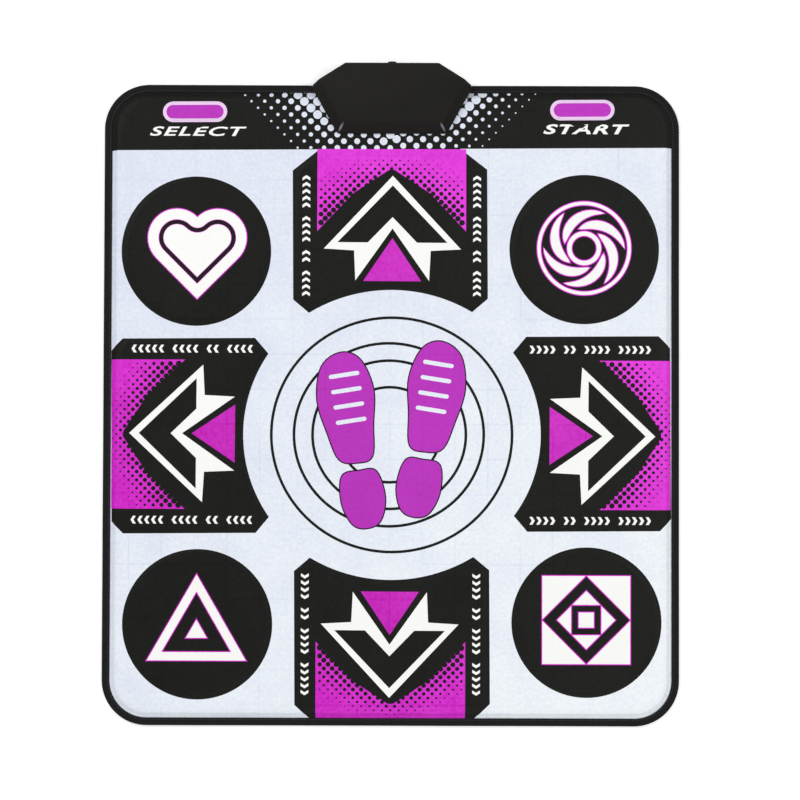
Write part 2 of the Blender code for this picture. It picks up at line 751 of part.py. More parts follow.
def make_grommet():
    """A rubber ring with a groove that grips the rear wall, turned about the cord's axis."""
    wall = CASE_WALL + 2 * GAP
    out = wall + GROMMET_FLANGE_THICKNESS
    profile = [
        (GROMMET_BORE, -GROMMET_FLANGE_THICKNESS),
        (GROMMET_FLANGE - GROMMET_EDGE, -GROMMET_FLANGE_THICKNESS),
        (GROMMET_FLANGE, GROMMET_EDGE - GROMMET_FLANGE_THICKNESS),
        (GROMMET_FLANGE, 0),
        (GROMMET_NECK, 0),
        (GROMMET_NECK, wall),
        (GROMMET_FLANGE, wall),
        (GROMMET_FLANGE, out - GROMMET_EDGE),
        (GROMMET_FLANGE - GROMMET_EDGE, out),
        (GROMMET_BORE, out),
    ]
    bm = bmesh.new()
    skin(bm, [(circle(radius, ROUND_STEPS), z) for radius, z in profile], closed=True)
    grommet = make_object("cable_grommet", bm, "rubber", (0, CASE_REAR_Y + GAP, GROMMET_Z))
    grommet.rotation_euler = (math.radians(90), 0, 0)
    smooth(grommet)


def make_screw(name, place, seat, shank, head, head_height, length, up):
    """A pan-head screw: its head lies against the level seat, and its shank runs up or down."""
    edge = head_height / 3
    sign = 1 if up else -1
    profile = [
        (head - edge, -head_height),
        (head, edge - head_height),
        (head, 0),
        (shank, 0),
        (shank, length - shank),
        (shank / 3, length),
    ]
    if not up:
        profile.reverse()
    levels = [(circle(radius, ROUND_STEPS), sign * z) for radius, z in profile]
    smooth(body(name, levels, "screw", (*place, seat)))


def make_case_screws():
    names = ("front_right", "rear_right", "rear_left", "front_left")
    seat = CASE_SCREW_RECESS - GAP
    length = CASE_SEAM + CASE_SCREW_IN_POST - seat
    sizes = (CASE_SCREW_SHANK, CASE_SCREW_HEAD, CASE_SCREW_HEAD_HEIGHT, length)
    for name, place in zip(names, case_screw_places()):
        make_screw(f"case_screw_{name}", place, seat, *sizes, up=True)


def make_board():
    rear_y = BOARD_FRONT_Y + BOARD_LENGTH
    plan = rectangle(-BOARD_HALF_WIDTH, BOARD_HALF_WIDTH, BOARD_FRONT_Y, rear_y)
    screwed, _ = rest_places()
    holes = [round_at(BAR_SCREW_HOLE, place) for place in screwed]
    perforated("circuit_board", plan, holes, BOARD_TOP, BOARD_THICKNESS, "board")


def make_chip(place):
    """A moulded package over one row of legs on each side."""
    half = CHIP_LENGTH / 2
    waist = CHIP_HEIGHT / 2
    draft = CHIP_HEIGHT / 10
    plan = rectangle(-half, half, -CHIP_WIDTH / 2, CHIP_WIDTH / 2)
    levels = [(inset(plan, draft), GAP), (plan, waist), (inset(plan, draft), CHIP_HEIGHT)]
    chip = body("controller_chip", levels, "chip", (*place, BOARD_TOP))
    legs = []
    reach = CHIP_WIDTH / 2 + CHIP_LEG_REACH
    for i in range(CHIP_LEGS_A_SIDE):
        x = (i - (CHIP_LEGS_A_SIDE - 1) / 2) * CHIP_LEG_PITCH
        width = CHIP_LEG_PITCH / 5
        legs.append(prism(rectangle(x - width, x + width, -reach, reach), GAP, waist))
    legs = tool("chip_legs", legs)
    legs.location = chip.location
    combine(chip, legs, "UNION")


def make_components():
    board_middle = BOARD_FRONT_Y + BOARD_LENGTH / 2
    behind_tail = BOARD_FRONT_Y + TAIL_ON_BOARD
    row_y = (behind_tail + BOARD_FRONT_Y + BOARD_LENGTH) / 2
    make_chip((-CHIP_LENGTH / 2, row_y))
    crystal = capsule(CRYSTAL_LENGTH, CRYSTAL_WIDTH, CAPSULE_STEPS)
    place = (CRYSTAL_LENGTH, row_y, ON_BOARD)
    smooth(body("crystal", slab(crystal, 0, CRYSTAL_HEIGHT, BAR_EDGE), "can", place))
    can = circle(CAPACITOR_RADIUS, ROUND_STEPS)
    place = (CRYSTAL_LENGTH + 3 * CAPACITOR_RADIUS, row_y, ON_BOARD)
    smooth(body("capacitor", slab(can, 0, CAPACITOR_HEIGHT, BAR_EDGE), "can", place))
    socket = rectangle(-SOCKET_LENGTH / 2, SOCKET_LENGTH / 2, -SOCKET_WIDTH / 2, SOCKET_WIDTH / 2)
    inside = inset(socket, SOCKET_WALL)
    bm = bmesh.new()
    walls = [(socket, 0), (socket, SOCKET_HEIGHT), (inside, SOCKET_HEIGHT), (inside, SOCKET_WALL)]
    loops = skin(bm, walls)
    bm.faces.new(loops[0])
    bm.faces.new(loops[-1])
    place = (-CHIP_LENGTH - SOCKET_LENGTH, board_middle + SOCKET_WIDTH, ON_BOARD)
    make_object("cable_socket", bm, "socket", place)


def make_tail_clamp():
    strip = rectangle(-STRIP_HALF_WIDTH, STRIP_HALF_WIDTH, BAR_Y - STRIP_WIDTH / 2, BAR_Y + STRIP_WIDTH / 2)
    body("pressure_strip", slab(strip, STRIP_Z, STRIP_Z + STRIP_HEIGHT, GAP), "rubber")
    plan = rectangle(-BAR_HALF_WIDTH, BAR_HALF_WIDTH, BAR_Y - BAR_WIDTH / 2, BAR_Y + BAR_WIDTH / 2)
    bar = body("tail_clamp_bar", slab(plan, BAR_Z, BAR_Z + BAR_HEIGHT, BAR_EDGE), "case")
    screwed, _ = rest_places()
    holes = [prism(round_at(BAR_SCREW_HOLE, place), 0, CASE_HEIGHT) for place in screwed]
    combine(bar, tool("bar_holes", holes), "DIFFERENCE")
    seat = BAR_Z + BAR_HEIGHT + GAP
    length = seat - CASE_WALL
    sizes = (BAR_SCREW_SHANK, BAR_SCREW_HEAD, BAR_SCREW_HEAD_HEIGHT, length)
    for side, place in zip(("right", "left"), screwed):
        make_screw(f"clamp_screw_{side}", place, seat, *sizes, up=False)


def clear_scene():
    for obj in list(bpy.data.objects):
        bpy.data.objects.remove(obj)


def main():
    clear_scene()
    mat = rounded_rectangle(MAT_WIDTH, MAT_LENGTH, MAT_CORNER_RADIUS, MAT_CORNER_STEPS)
    make_mat(mat, zones(), make_tools())
    make_lower_case()
    make_upper_case()
    make_grommet()
    make_case_screws()
    make_board()
    make_components()
    make_tail_clamp()
    print(f"mat {MAT_WIDTH * 1000:.0f} x {MAT_LENGTH * 1000:.0f} mm, {COVER_TOP * 1000:.1f} mm thick")


main()
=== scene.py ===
# %% [markdown]
# A dance mat controller is a game controller for the feet: a soft mat with printed touch zones, and a
# small moulded box clamped to its top edge. This notebook dresses its packed construction model. The
# model comes in as a fixed frame, so every size below is either read from that frame or is a real size
# of the print, in metres. Nothing here moves or resizes the frame.

# %% Load the frame
import json
import math

import bmesh
import bpy
import numpy as np
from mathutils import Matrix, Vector
from mathutils.geometry import delaunay_2d_cdt


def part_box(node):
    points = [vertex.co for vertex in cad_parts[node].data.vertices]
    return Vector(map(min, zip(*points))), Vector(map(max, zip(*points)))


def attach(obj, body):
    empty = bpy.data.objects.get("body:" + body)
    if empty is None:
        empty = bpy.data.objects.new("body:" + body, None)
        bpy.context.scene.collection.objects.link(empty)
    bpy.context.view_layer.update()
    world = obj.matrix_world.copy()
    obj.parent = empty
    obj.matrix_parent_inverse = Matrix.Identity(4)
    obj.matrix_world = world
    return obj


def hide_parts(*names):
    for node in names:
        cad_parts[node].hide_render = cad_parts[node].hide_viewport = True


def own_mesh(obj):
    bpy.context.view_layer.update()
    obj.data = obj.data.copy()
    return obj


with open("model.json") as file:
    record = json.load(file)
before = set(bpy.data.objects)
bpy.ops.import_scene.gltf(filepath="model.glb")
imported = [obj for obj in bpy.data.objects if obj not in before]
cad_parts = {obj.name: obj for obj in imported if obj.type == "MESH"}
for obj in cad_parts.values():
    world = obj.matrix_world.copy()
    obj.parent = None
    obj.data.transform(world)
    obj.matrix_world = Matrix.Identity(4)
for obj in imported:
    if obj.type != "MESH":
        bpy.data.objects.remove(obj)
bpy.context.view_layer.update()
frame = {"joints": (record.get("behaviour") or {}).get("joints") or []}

scene = bpy.context.scene

# %% [markdown]
# The driving sizes come first. The mat's outline is the box of its edge binding, the level of the flat
# cover is the rim of the lower case, and each touch zone stands proud of the cover by its own travel.
# The rings' centre lies level with the middle of the left arrow. What the frame doesn't hold, such as
# the corner radius and the width of the sloped collar round a zone, is named here once.

# %% Sizes
MM = 0.001
CORNER_RADIUS = 64 * MM
SKIN_INSET = 1.2 * MM
TAPE_WIDTH = 11 * MM
TAPE_THICKNESS = 0.9 * MM
SLOPE_FOOT = 12.6 * MM
SLOPE_HEAD = 20 * MM
COVER_THICKNESS = 0.8 * MM
COLLAR = 8 * MM
CAPSULE_COLLAR = 4 * MM
PAD_CLEARANCE = 0.5 * MM
SEAM_GAP = 0.15 * MM

mat_low, mat_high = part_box("edge_binding")
mat_half = np.array([mat_high.x - mat_low.x, mat_high.y - mat_low.y]) / 2
case_low, case_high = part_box("upper_case")
cover_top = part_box("lower_case")[1].z
pad_low, pad_top = (corner.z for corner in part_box("up_pad"))
travel = pad_top - cover_top
left_low, left_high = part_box("left_pad")
rings = np.array([0, (left_low.y + left_high.y) / 2])
panel_half = (left_high.y - left_low.y) / 2 + COLLAR + PAD_CLEARANCE
print(f"mat {2 * mat_half[0]:.3f} x {2 * mat_half[1]:.3f} m, rings at {rings[1]:.3f} m")
print(f"cover at {cover_top:.4f} m, travel {travel:.4f} m, arrow zones {2 * panel_half:.3f} m wide")

# %% [markdown]
# The photograph looks almost straight down. Its lower edge is a little wider than its upper one, so the
# camera hangs three metres over the mat, a little to the front, and leans back by just over a degree.
# The lens follows from the distance and from the width that the picture takes in.

# %% Camera
PICTURE_WIDTH = 1.137
CAMERA_DISTANCE = 3.0
SENSOR = 36.0
PICTURE_MIDDLE = (0.0128, 0.0064)
PICTURE_LEAN = math.radians(1.3)
PICTURE_TURN = math.radians(0.17)

camera_data = bpy.data.cameras.new("camera")
camera_data.sensor_width = SENSOR
camera_data.lens = SENSOR * CAMERA_DISTANCE / PICTURE_WIDTH
camera_data.clip_end = 50
camera = bpy.data.objects.new("camera", camera_data)
back, up = CAMERA_DISTANCE * math.sin(PICTURE_LEAN), CAMERA_DISTANCE * math.cos(PICTURE_LEAN)
camera.location = (PICTURE_MIDDLE[0], PICTURE_MIDDLE[1] - back, cover_top + up)
camera.rotation_euler = (PICTURE_LEAN, 0, PICTURE_TURN)
scene.collection.objects.link(camera)
scene.camera = camera
print("lens", round(camera_data.lens, 1))

# %% [markdown]
# A few helpers serve every piece. Colours are written as sRGB hex values, as a colour picker gives
# them, and one function turns them into the linear values that shaders work in. Another adds a node
# to a tree with its settings and its inputs, which may be numbers or the outputs of other nodes.

# %% Helpers for colours, nodes and objects
def hex_colour(text):
    """A linear RGBA colour from an sRGB hex value such as #e4edf6."""
    levels = [int(text[i : i + 2], 16) / 255 for i in (1, 3, 5)]
    linear = [c / 12.92 if c <= 0.04045 else ((c + 0.055) / 1.055) ** 2.4 for c in levels]
    return (*linear, 1)


def add(tree, kind, *inputs, **settings):
    """Adds a node. Its inputs are values, sockets or nodes: in order, or by name or number in a dict."""
    node = tree.nodes.new(kind)
    for name, value in settings.items():
        setattr(node, name, value)
    given = inputs[0] if inputs and isinstance(inputs[0], dict) else dict(enumerate(inputs))
    for key, value in given.items():
        if isinstance(value, bpy.types.Node):
            value = next(output for output in value.outputs if output.enabled)
        if isinstance(value, bpy.types.NodeSocket):
            tree.links.new(value, node.inputs[key])
        elif value is not None:
            node.inputs[key].default_value = value
    return node


def place_object(name, mesh, materials=()):
    """An object at the origin that holds this mesh."""
    for material in materials:
        mesh.materials.append(material)
    obj = bpy.data.objects.new(name, mesh)
    scene.collection.objects.link(obj)
    return obj


def shade(obj, degrees=35):
    """Smooth shading, with sharp edges where faces meet at more than this angle."""
    obj.data.shade_smooth()
    obj.data.set_sharp_from_angle(angle=math.radians(degrees))
    return obj


def triangles_in(obj):
    return sum(len(face.vertices) - 2 for face in obj.data.polygons)

# %% [markdown]
# The floor and the light are those of a plain studio. A world of one even grey and three wide soft
# lamps light the mat at a level where a colour renders about as it is written. The floor is a pale
# diffuse sheet. It looks white because it adds some light of its own, but only to rays that come
# from the camera or that see it in a reflection, so it lights nothing and still shows the shadow.

# %% Floor and light
WORLD_LEVEL = 0.45
FLOOR_SIZE = 30.0
FLOOR_GLOW = 0.38
FLOOR_DROP = 0.05 * MM
LAMPS = {
    "key": ((-1.9, 1.5, 2.4), 1.4, 42),
    "fill": ((2.2, 0.6, 2.2), 1.8, 26),
    "front": ((0.2, -2.6, 2.0), 1.8, 22),
}

world = bpy.data.worlds.new("studio")
scene.world = world
world.use_nodes = True
world.node_tree.nodes["Background"].inputs["Color"].default_value = (1, 1, 1, 1)
world.node_tree.nodes["Background"].inputs["Strength"].default_value = WORLD_LEVEL
scene.view_settings.view_transform = "Standard"


def make_floor():
    material = bpy.data.materials.new("white paper floor")
    material.use_nodes = True
    tree = material.node_tree
    tree.nodes.clear()
    rays = add(tree, "ShaderNodeLightPath").outputs
    seen = add(tree, "ShaderNodeMath", rays["Is Camera Ray"], rays["Is Glossy Ray"], operation="MAXIMUM")
    seen = add(tree, "ShaderNodeMath", seen, rays["Is Transmission Ray"], operation="MAXIMUM")
    glow = add(tree, "ShaderNodeMath", seen, FLOOR_GLOW, operation="MULTIPLY")
    paper = add(tree, "ShaderNodeBsdfDiffuse", hex_colour("#e6e6e6"))
    light = add(tree, "ShaderNodeEmission", (1, 1, 1, 1), glow)
    both = add(tree, "ShaderNodeAddShader", paper, light)
    add(tree, "ShaderNodeOutputMaterial", both)
    mesh = bpy.data.meshes.new("floor")
    half = FLOOR_SIZE / 2
    corners = [(-half, -half, 0), (half, -half, 0), (half, half, 0), (-half, half, 0)]
    mesh.from_pydata(corners, [], [(0, 1, 2, 3)])
    floor = place_object("floor", mesh, [material])
    floor.location.z = -FLOOR_DROP


def make_lamp(name, place, size, power):
    data = bpy.data.lights.new(name, "AREA")
    data.size = size
    data.energy = power
    lamp = bpy.data.objects.new(name, data)
    lamp.location = place
    lamp.rotation_euler = (-Vector(place)).to_track_quat("-Z", "Y").to_euler()
    scene.collection.objects.link(lamp)


make_floor()
for name, values in LAMPS.items():
    make_lamp(name, *values)
print("lamps", list(LAMPS))

# %% [markdown]
# Outlines are lists of points in plan, counter-clockwise. The print is all arcs and straight lines, so
# a few functions draw it: an arc, a turned or moved copy, and an outline moved inwards. Two more tell
# which points lie inside an outline and how far inside they are, for thousands of points at once.

# %% Helpers for outlines
MITRE_LIMIT = 0.3


def arc(centre, radius, start, end, steps):
    """Points along an arc, both ends included, angles in degrees."""
    angles = np.radians(np.linspace(start, end, steps + 1))
    return [(centre[0] + radius * math.cos(a), centre[1] + radius * math.sin(a)) for a in angles]


def circle(centre, radius, steps):
    return arc(centre, radius, 0, 360, steps)[:-1]


def capsule(centre, length, width, steps=12):
    reach = (length - width) / 2
    right = arc((centre[0] + reach, centre[1]), width / 2, -90, 90, steps)
    return right + arc((centre[0] - reach, centre[1]), width / 2, 90, 270, steps)


def turned(outline, degrees, about=(0, 0)):
    """The outline turned about the origin, and then moved so that the origin lies at about."""
    c, s = math.cos(math.radians(degrees)), math.sin(math.radians(degrees))
    return [(about[0] + x * c - y * s, about[1] + x * s + y * c) for x, y in outline]


def mirrored(half):
    """A closed outline from its lower half about the X axis, given from right to left or left to right."""
    return list(half) + [(x, -y) for x, y in reversed(half) if abs(y) > 1e-6]


def inset(outline, distance):
    """The outline moved inwards, or outwards where the distance is below zero."""
    points = np.array(outline, float)
    along = np.roll(points, -1, axis=0) - points
    along /= np.linalg.norm(along, axis=1)[:, None]
    inward = np.stack([-along[:, 1], along[:, 0]], axis=1)
    middle = inward + np.roll(inward, 1, axis=0)
    share = (middle * inward).sum(axis=1)
    return [tuple(p) for p in points + distance * middle / np.maximum(share, MITRE_LIMIT)[:, None]]


def inside(outline, points):
    """True for each point that lies inside the closed outline."""
    a = np.array(outline, float)
    b = np.roll(a, -1, axis=0)
    x, y = points[:, 0, None], points[:, 1, None]
    crosses = (a[:, 1] > y) != (b[:, 1] > y)
    rise = np.where(crosses, b[:, 1] - a[:, 1], 1)
    at = a[:, 0] + (y - a[:, 1]) * (b[:, 0] - a[:, 0]) / rise
    return (crosses & (x < at)).sum(axis=1) % 2 == 1


def depth_in(outline, points):
    """How far each point lies inside the outline, and less than zero outside."""
    a = np.array(outline, float)
    edge = np.roll(a, -1, axis=0) - a
    nearest = np.full(len(points), np.inf)
    for start, way in zip(a, edge):
        t = np.clip(((points - start) @ way) / (way @ way), 0, 1)
        gap = points - start - t[:, None] * way
        nearest = np.minimum(nearest, (gap * gap).sum(axis=1))
    return np.sqrt(nearest) * np.where(inside(outline, points), 1, -1)


def smooth_step(values):
    t = np.clip(values, 0, 1)
    return t * t * (3 - 2 * t)

# %% [markdown]
# The ten touch zones have the outlines of their pads, a collar wider. The four arrow zones are one
# panel, with a concave end that goes round the rings and a point on each side of it, turned to the four
# sides. They differ only in their length and in the chamfers at their outer corners.

# %% Outlines of the touch zones
ARC_RADIUS = 209 * MM
POINT_ACROSS = 22.5 * MM
POINT_ALONG = 19 * MM
ARC_STEPS = 48
DISC_STEPS = 96
ANGLES = {"right": 0, "up": 90, "left": 180, "down": -90}
ZONE_CHAMFERS = {"up": (29, 37), "down": (16, 16), "left": (13, 13), "right": (13, 13)}
NAMES = [joint["child"][: -len("_zone")] for joint in frame["joints"]]


def panel(end, chamfer, bow=ARC_RADIUS):
    """An arrow panel that points along +X from the rings' centre; its arc's middle lies at the bow."""
    point = panel_half - POINT_ACROSS
    foot = math.sqrt(ARC_RADIUS**2 - point**2)
    middle = (bow**2 - ARC_RADIUS**2) / (2 * (bow - foot))
    angle = math.degrees(math.asin(point / (bow - middle)))
    along, across = (size * MM for size in chamfer)
    half = [(foot + POINT_ALONG, -panel_half), (end - along, -panel_half), (end, across - panel_half)]
    half += [(x, -y) for x, y in reversed(half)]
    return half + arc((middle, 0), bow - middle, angle, -angle, ARC_STEPS)


def middle_of(node):
    low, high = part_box(node)
    return np.array([(low.x + high.x) / 2, (low.y + high.y) / 2])


def reach_of(name):
    """How far an arrow zone reaches from the rings' centre."""
    low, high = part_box(f"{name}_pad")
    sides = {"right": high.x, "left": -low.x, "up": high.y - rings[1], "down": rings[1] - low.y}
    return sides[name] + COLLAR + PAD_CLEARANCE


def zone_outline(name):
    """The foot of a zone's collar, in plan."""
    if name in ANGLES:
        return turned(panel(reach_of(name), ZONE_CHAMFERS[name]), ANGLES[name], rings)
    low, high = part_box(f"{name}_pad")
    if name in ("select", "start"):
        grow = 2 * (CAPSULE_COLLAR + PAD_CLEARANCE)
        return capsule(middle_of(f"{name}_pad"), high.x - low.x + grow, high.y - low.y + grow)
    return circle(middle_of(f"{name}_pad"), (high.x - low.x) / 2 + COLLAR + PAD_CLEARANCE, DISC_STEPS)


def collar_of(name):
    return CAPSULE_COLLAR if name in ("select", "start") else COLLAR


outlines = {name: zone_outline(name) for name in NAMES}
print("zones", {name: len(outline) for name, outline in outlines.items()})

# %% [markdown]
# The box's hexagon in plan is needed too, because the cover ends under it. The rim of the box clamps
# the cover all along its front and sides, and behind that the cover has a mouth cut out of it.

# %% Outline of the box
CASE_FRONT_HALF = 78 * MM
CASE_WAIST_HALF = 115.5 * MM
CASE_REAR_HALF = 66.5 * MM
CASE_WAIST_INSIDE = 2 * MM
CLAMPED = 11.5 * MM
CLAMP_END_INSIDE = 22.6 * MM
CASE_GAP = 0.5 * MM

waist_y = mat_half[1] - CASE_WAIST_INSIDE
case_half = (case_high.x - case_low.x) / 2
case_plan = [
    (CASE_FRONT_HALF, case_low.y),
    (CASE_WAIST_HALF, waist_y),
    (CASE_REAR_HALF, case_high.y),
    (-CASE_REAR_HALF, case_high.y),
    (-CASE_WAIST_HALF, waist_y),
    (-CASE_FRONT_HALF, case_low.y),
]


def side_of_case(y, margin=0.0):
    """Half the box's width at y, in front of its waist, whose corners are rounded off."""
    slant = (CASE_WAIST_HALF - CASE_FRONT_HALF) / (waist_y - case_low.y)
    line = CASE_FRONT_HALF + (y - case_low.y) * slant + margin * math.hypot(1, slant)
    return min(line, case_half + margin)


def cover_mouth():
    """What is cut out of the cover at the box."""
    clamp_end = mat_half[1] - CLAMP_END_INSIDE
    front = case_low.y + CLAMPED
    right = [
        (side_of_case(front, -CLAMPED), front),
        (side_of_case(clamp_end, -CLAMPED), clamp_end),
        (side_of_case(clamp_end, CASE_GAP), clamp_end),
        (side_of_case(mat_half[1], CASE_GAP), mat_half[1] + CLAMPED),
    ]
    return right + [(-x, y) for x, y in reversed(right)]


mouth = cover_mouth()
print("box", [round(v, 3) for v in (case_half, case_low.y, case_high.y, case_high.z)])

# %% [markdown]
# The print is screen printed: flat areas of a few inks on a coated fabric. It is listed here as a
# painter would lay it down, each shape over the ones before. First come the field, the black band
# and the thin rings, then the four black panels with their magenta ends and white arrows. Black dots
# that shrink away from the arrow shade the magenta, as a halftone does in print. The sizes of one
# panel are in millimetres, along it and across it from the rings' centre. Each ink has a screen of its
# own, so the black and the white lie a fraction of a degree askew, and the rings are drawn out a little.

# %% Print: field, band, rings and arrow panels
BAND_START = 364 * MM
DOT_PITCH = 11.8
DOT_ROWS = 5.9
DOT_REACHES = (24, 90)
DOT_WIDTHS = (5.6, 9.2)
DOT_STEPS = 10
SMALLEST_DOT = 1
BLACK_TURN = 0.4
WHITE_TURN = -0.25
RINGS = ((0.9, 171, 166.4), (-3.1, 134.8, 130), (-2.6, 108.9, 105.3), (-2.2, 71.6, 67.5))
RING_LINE = 4
RING_STEPS = 160
PRINTED_ENDS = {"up": 407, "down": 403, "left": 398, "right": 398}
PRINTED_CHAMFERS = {"up": (30, 38), "down": (21, 22), "left": (17, 17), "right": (17, 17)}
PRINTED_BOWS = {"up": 205.9, "down": 205.9, "left": 210, "right": 212.6}
ARROW_SHIFTS = {"up": -0.6, "down": 3.4, "left": 2.7, "right": 6.1}
PRINT_HALF = 106
V_LINE = [(290, 106), (344, 55), (377.5, 4)]


def from_mm(points):
    return [(x * MM, y * MM) for x, y in points]


ARROW = [(369.2, 0), (264.8, 97.6), (262.4, 54.5), (219.5, 52.5), (294, 0)]
ARROW_INSIDE = [(355.5, 0), (274, 78.3), (274, 35), (310.3, 0)]
TRIANGLE = [(280.5, 0), (219, 41.3)]

shapes = []


def paint(outline, ink):
    shapes.append((outline, ink))


def askew(outline, degrees=BLACK_TURN):
    """The outline turned about the rings' centre, as its ink lies."""
    return turned([(x - rings[0], y - rings[1]) for x, y in outline], degrees, rings)


def ring(across, wide, high):
    """A slightly oval ring, its middle this far to the right of the rings' centre."""
    middle_x, middle_y = rings[0] / MM + across, rings[1] / MM
    return from_mm([(middle_x + wide * x, middle_y + high * y) for x, y in circle((0, 0), 1, RING_STEPS)])


def v_line(across):
    """Where the black V ends and the magenta begins."""
    along, sideways = zip(*V_LINE)
    return np.interp(np.abs(across), sideways[::-1], along[::-1])


def print_panel(name):
    """A black panel, magenta beyond a black V, with a white arrow."""
    end = PRINTED_ENDS[name]
    shift = ARROW_SHIFTS[name]
    v = [(x + shift, y) for x, y in V_LINE]
    magenta = [(end, 0), (end, PRINT_HALF), *v]
    black = panel(end * MM, PRINTED_CHAMFERS[name], PRINTED_BOWS[name] * MM)
    paint(turned(black, ANGLES[name] + BLACK_TURN, rings), "black")
    paint(turned(from_mm(mirrored(magenta)), ANGLES[name], rings), "magenta")
    for place, size in panel_dots(end, shift):
        paint(turned(circle(place, size / 2, DOT_STEPS), ANGLES[name], rings), "black")
    for points, ink in ((ARROW, "white"), (ARROW_INSIDE, "black"), (TRIANGLE, "mauve")):
        points = [(x + shift, y) for x, y in points]
        paint(turned(from_mm(mirrored(points)), ANGLES[name] + WHITE_TURN, rings), ink)


def panel_dots(end, shift):
    """Black dots that shrink away from the V, sooner near its tip, each as its place and its width."""
    rows = np.arange(V_LINE[0][0], end, DOT_ROWS)
    for number, along in enumerate(rows):
        across = np.arange(-PRINT_HALF + DOT_PITCH / 2, PRINT_HALF, DOT_PITCH) + (number % 2) * DOT_PITCH / 2
        beyond = along - v_line(across) - shift
        first = np.interp(np.abs(across), (0, PRINT_HALF), DOT_WIDTHS)
        reach = np.interp(np.abs(across), (0, PRINT_HALF), DOT_REACHES)
        sizes = first * (1 - np.maximum(beyond, 0) / reach)
        for y, size, away in zip(across, sizes, beyond):
            fits = abs(y) + size / 2 < PRINT_HALF and along + size / 2 < end
            if size > SMALLEST_DOT and away > -size / 2 and fits:
                yield (along * MM, y * MM), size * MM


wide, high = 2 * mat_half
band = [(-wide, BAND_START), (wide, BAND_START), (wide, high), (-wide, high)]
paint(askew(band), "black")
for across, ring_wide, ring_high in RINGS:
    for grow, ink in ((RING_LINE / 2, "black"), (-RING_LINE / 2, "field")):
        paint(ring(across, ring_wide + grow, ring_high + grow), ink)
for name in ANGLES:
    print_panel(name)
print("shapes", len(shapes))

# %% [markdown]
# The four corner zones are black discs with a white sign, edged by a thin magenta line. The signs are
# plain figures: a heart in a heart, a swirl, nested triangles and nested squares. The heart is two half
# discs on a square that stands on its corner, the swirl is one crescent repeated round a centre in two
# rings, and the others are regular polygons. A function lays down each figure's magenta edge and then
# its white.

# %% Print: signs of the corner zones and the capsules
SIGN_EDGE = 1.4 * MM
SIGN_SHIFTS = {
    "upper_left": (-0.4, -11.9),
    "upper_right": (-2.1, 3.5),
    "lower_left": (1, -12.5),
    "lower_right": (1.4, 5.7),
}
HEART_LOBE = 41 * MM
HEART_LINES = ((15.5 * MM, "black"), (22 * MM, "white"))
SWIRL_DISCS = ((66.5, "white"), (60.5, "black"), (24, "white"), (16.5, "black"))
SWIRL_RADIUS = 57.5 * MM
SWIRL_BLADES = 6
BLADE_TURN = 105
BLADE_WIDTH = 0.24
BLADE_END = 0.5
TRIANGLES = ((81, "white"), (54.5, "black"), (17, "white"))
SQUARES = ((88, 45, "white"), (61.5, 0, "black"), (41, 0, "white"), (28.5, 45, "black"), (15, 45, "white"))
CAPSULE_SHIFT = -1.5 * MM
CAPSULE_EDGE = 1.2 * MM
CAPSULE_INSIDE = 6.2 * MM


def heart(centre, lobe, depth=0.0, steps=20):
    """A heart of two half discs on a square; the depth draws it in evenly on all sides."""
    x, y = centre
    off = lobe / math.sqrt(2)
    right = arc((x + off, y + off), lobe - depth, -45, 135, steps)[:-1]
    cleft = arc((x, y + 2 * off), depth, -45, -135, 8)[:-1] if depth else []
    left = arc((x - off, y + off), lobe - depth, 45, 225, steps)
    return right + cleft + left + [(x, y - 2 * off + math.sqrt(2) * depth)]


def polygon(centre, radius, sides, turn):
    return arc(centre, radius, turn, turn + 360, sides)[:-1]


def crescent(radius, turn, steps=16):
    """One crescent of a swirl, from a point on the rim round and in to a point near the centre."""
    t = np.linspace(0, 1, steps + 1)
    outer = radius * (1 - (1 - BLADE_END) * t**1.5)
    inner = outer - BLADE_WIDTH * radius * np.sin(math.pi * t) ** 0.8
    angles = np.radians(turn + BLADE_TURN * t)
    rim = [(r * math.cos(a), r * math.sin(a)) for r, a in zip(outer, angles)]
    return rim + [(r * math.cos(a), r * math.sin(a)) for r, a in zip(inner[-2:0:-1], angles[-2:0:-1])]


def sign(outline, ink="white"):
    paint(inset(outline, -SIGN_EDGE), "magenta")
    paint(outline, ink)


def moved(outline, place):
    return [(x + place[0], y + place[1]) for x, y in outline]


sign_places = {}
for name, shift in SIGN_SHIFTS.items():
    paint(askew(outlines[name]), "black")
    sign_places[name] = middle_of(f"{name}_pad") + np.array(shift) * MM

place = sign_places["upper_left"]
sign(heart(place, HEART_LOBE))
for depth, ink in HEART_LINES:
    paint(heart(place, HEART_LOBE, depth - SIGN_EDGE / 2), "magenta")
    paint(heart(place, HEART_LOBE, depth), ink)

place = sign_places["upper_right"]
for radius, ink in SWIRL_DISCS:
    sign(circle(place, radius * MM, 72), ink)
for i in range(SWIRL_BLADES):
    sign(moved(crescent(SWIRL_RADIUS, 360 * i / SWIRL_BLADES), place))

place = sign_places["lower_left"]
for radius, ink in TRIANGLES:
    sign(polygon(place, radius * MM, 3, 90), ink)

place = sign_places["lower_right"]
for radius, turn, ink in SQUARES:
    sign(polygon(place, radius * MM, 4, turn), ink)

for name in ("select", "start"):
    for depth, ink in ((CAPSULE_EDGE, "edge"), (CAPSULE_INSIDE, "violet")):
        paint(moved(askew(inset(outlines[name], depth)), (CAPSULE_SHIFT, 0)), ink)
print("shapes", len(shapes))

# %% [markdown]
# Pale dots cover the band round the box, where the black ink lets the cloth show. Their rows are
# staggered, and a dot grows with its distance from the two outer ends of the pattern. Beside the box's
# rear half and in front of its middle the dots are the widest, and nearly touch. The rows on the right
# lie a little lower than those on the left. The print stops short of the binding, and a row that
# crosses the band's front edge is cut straight there.

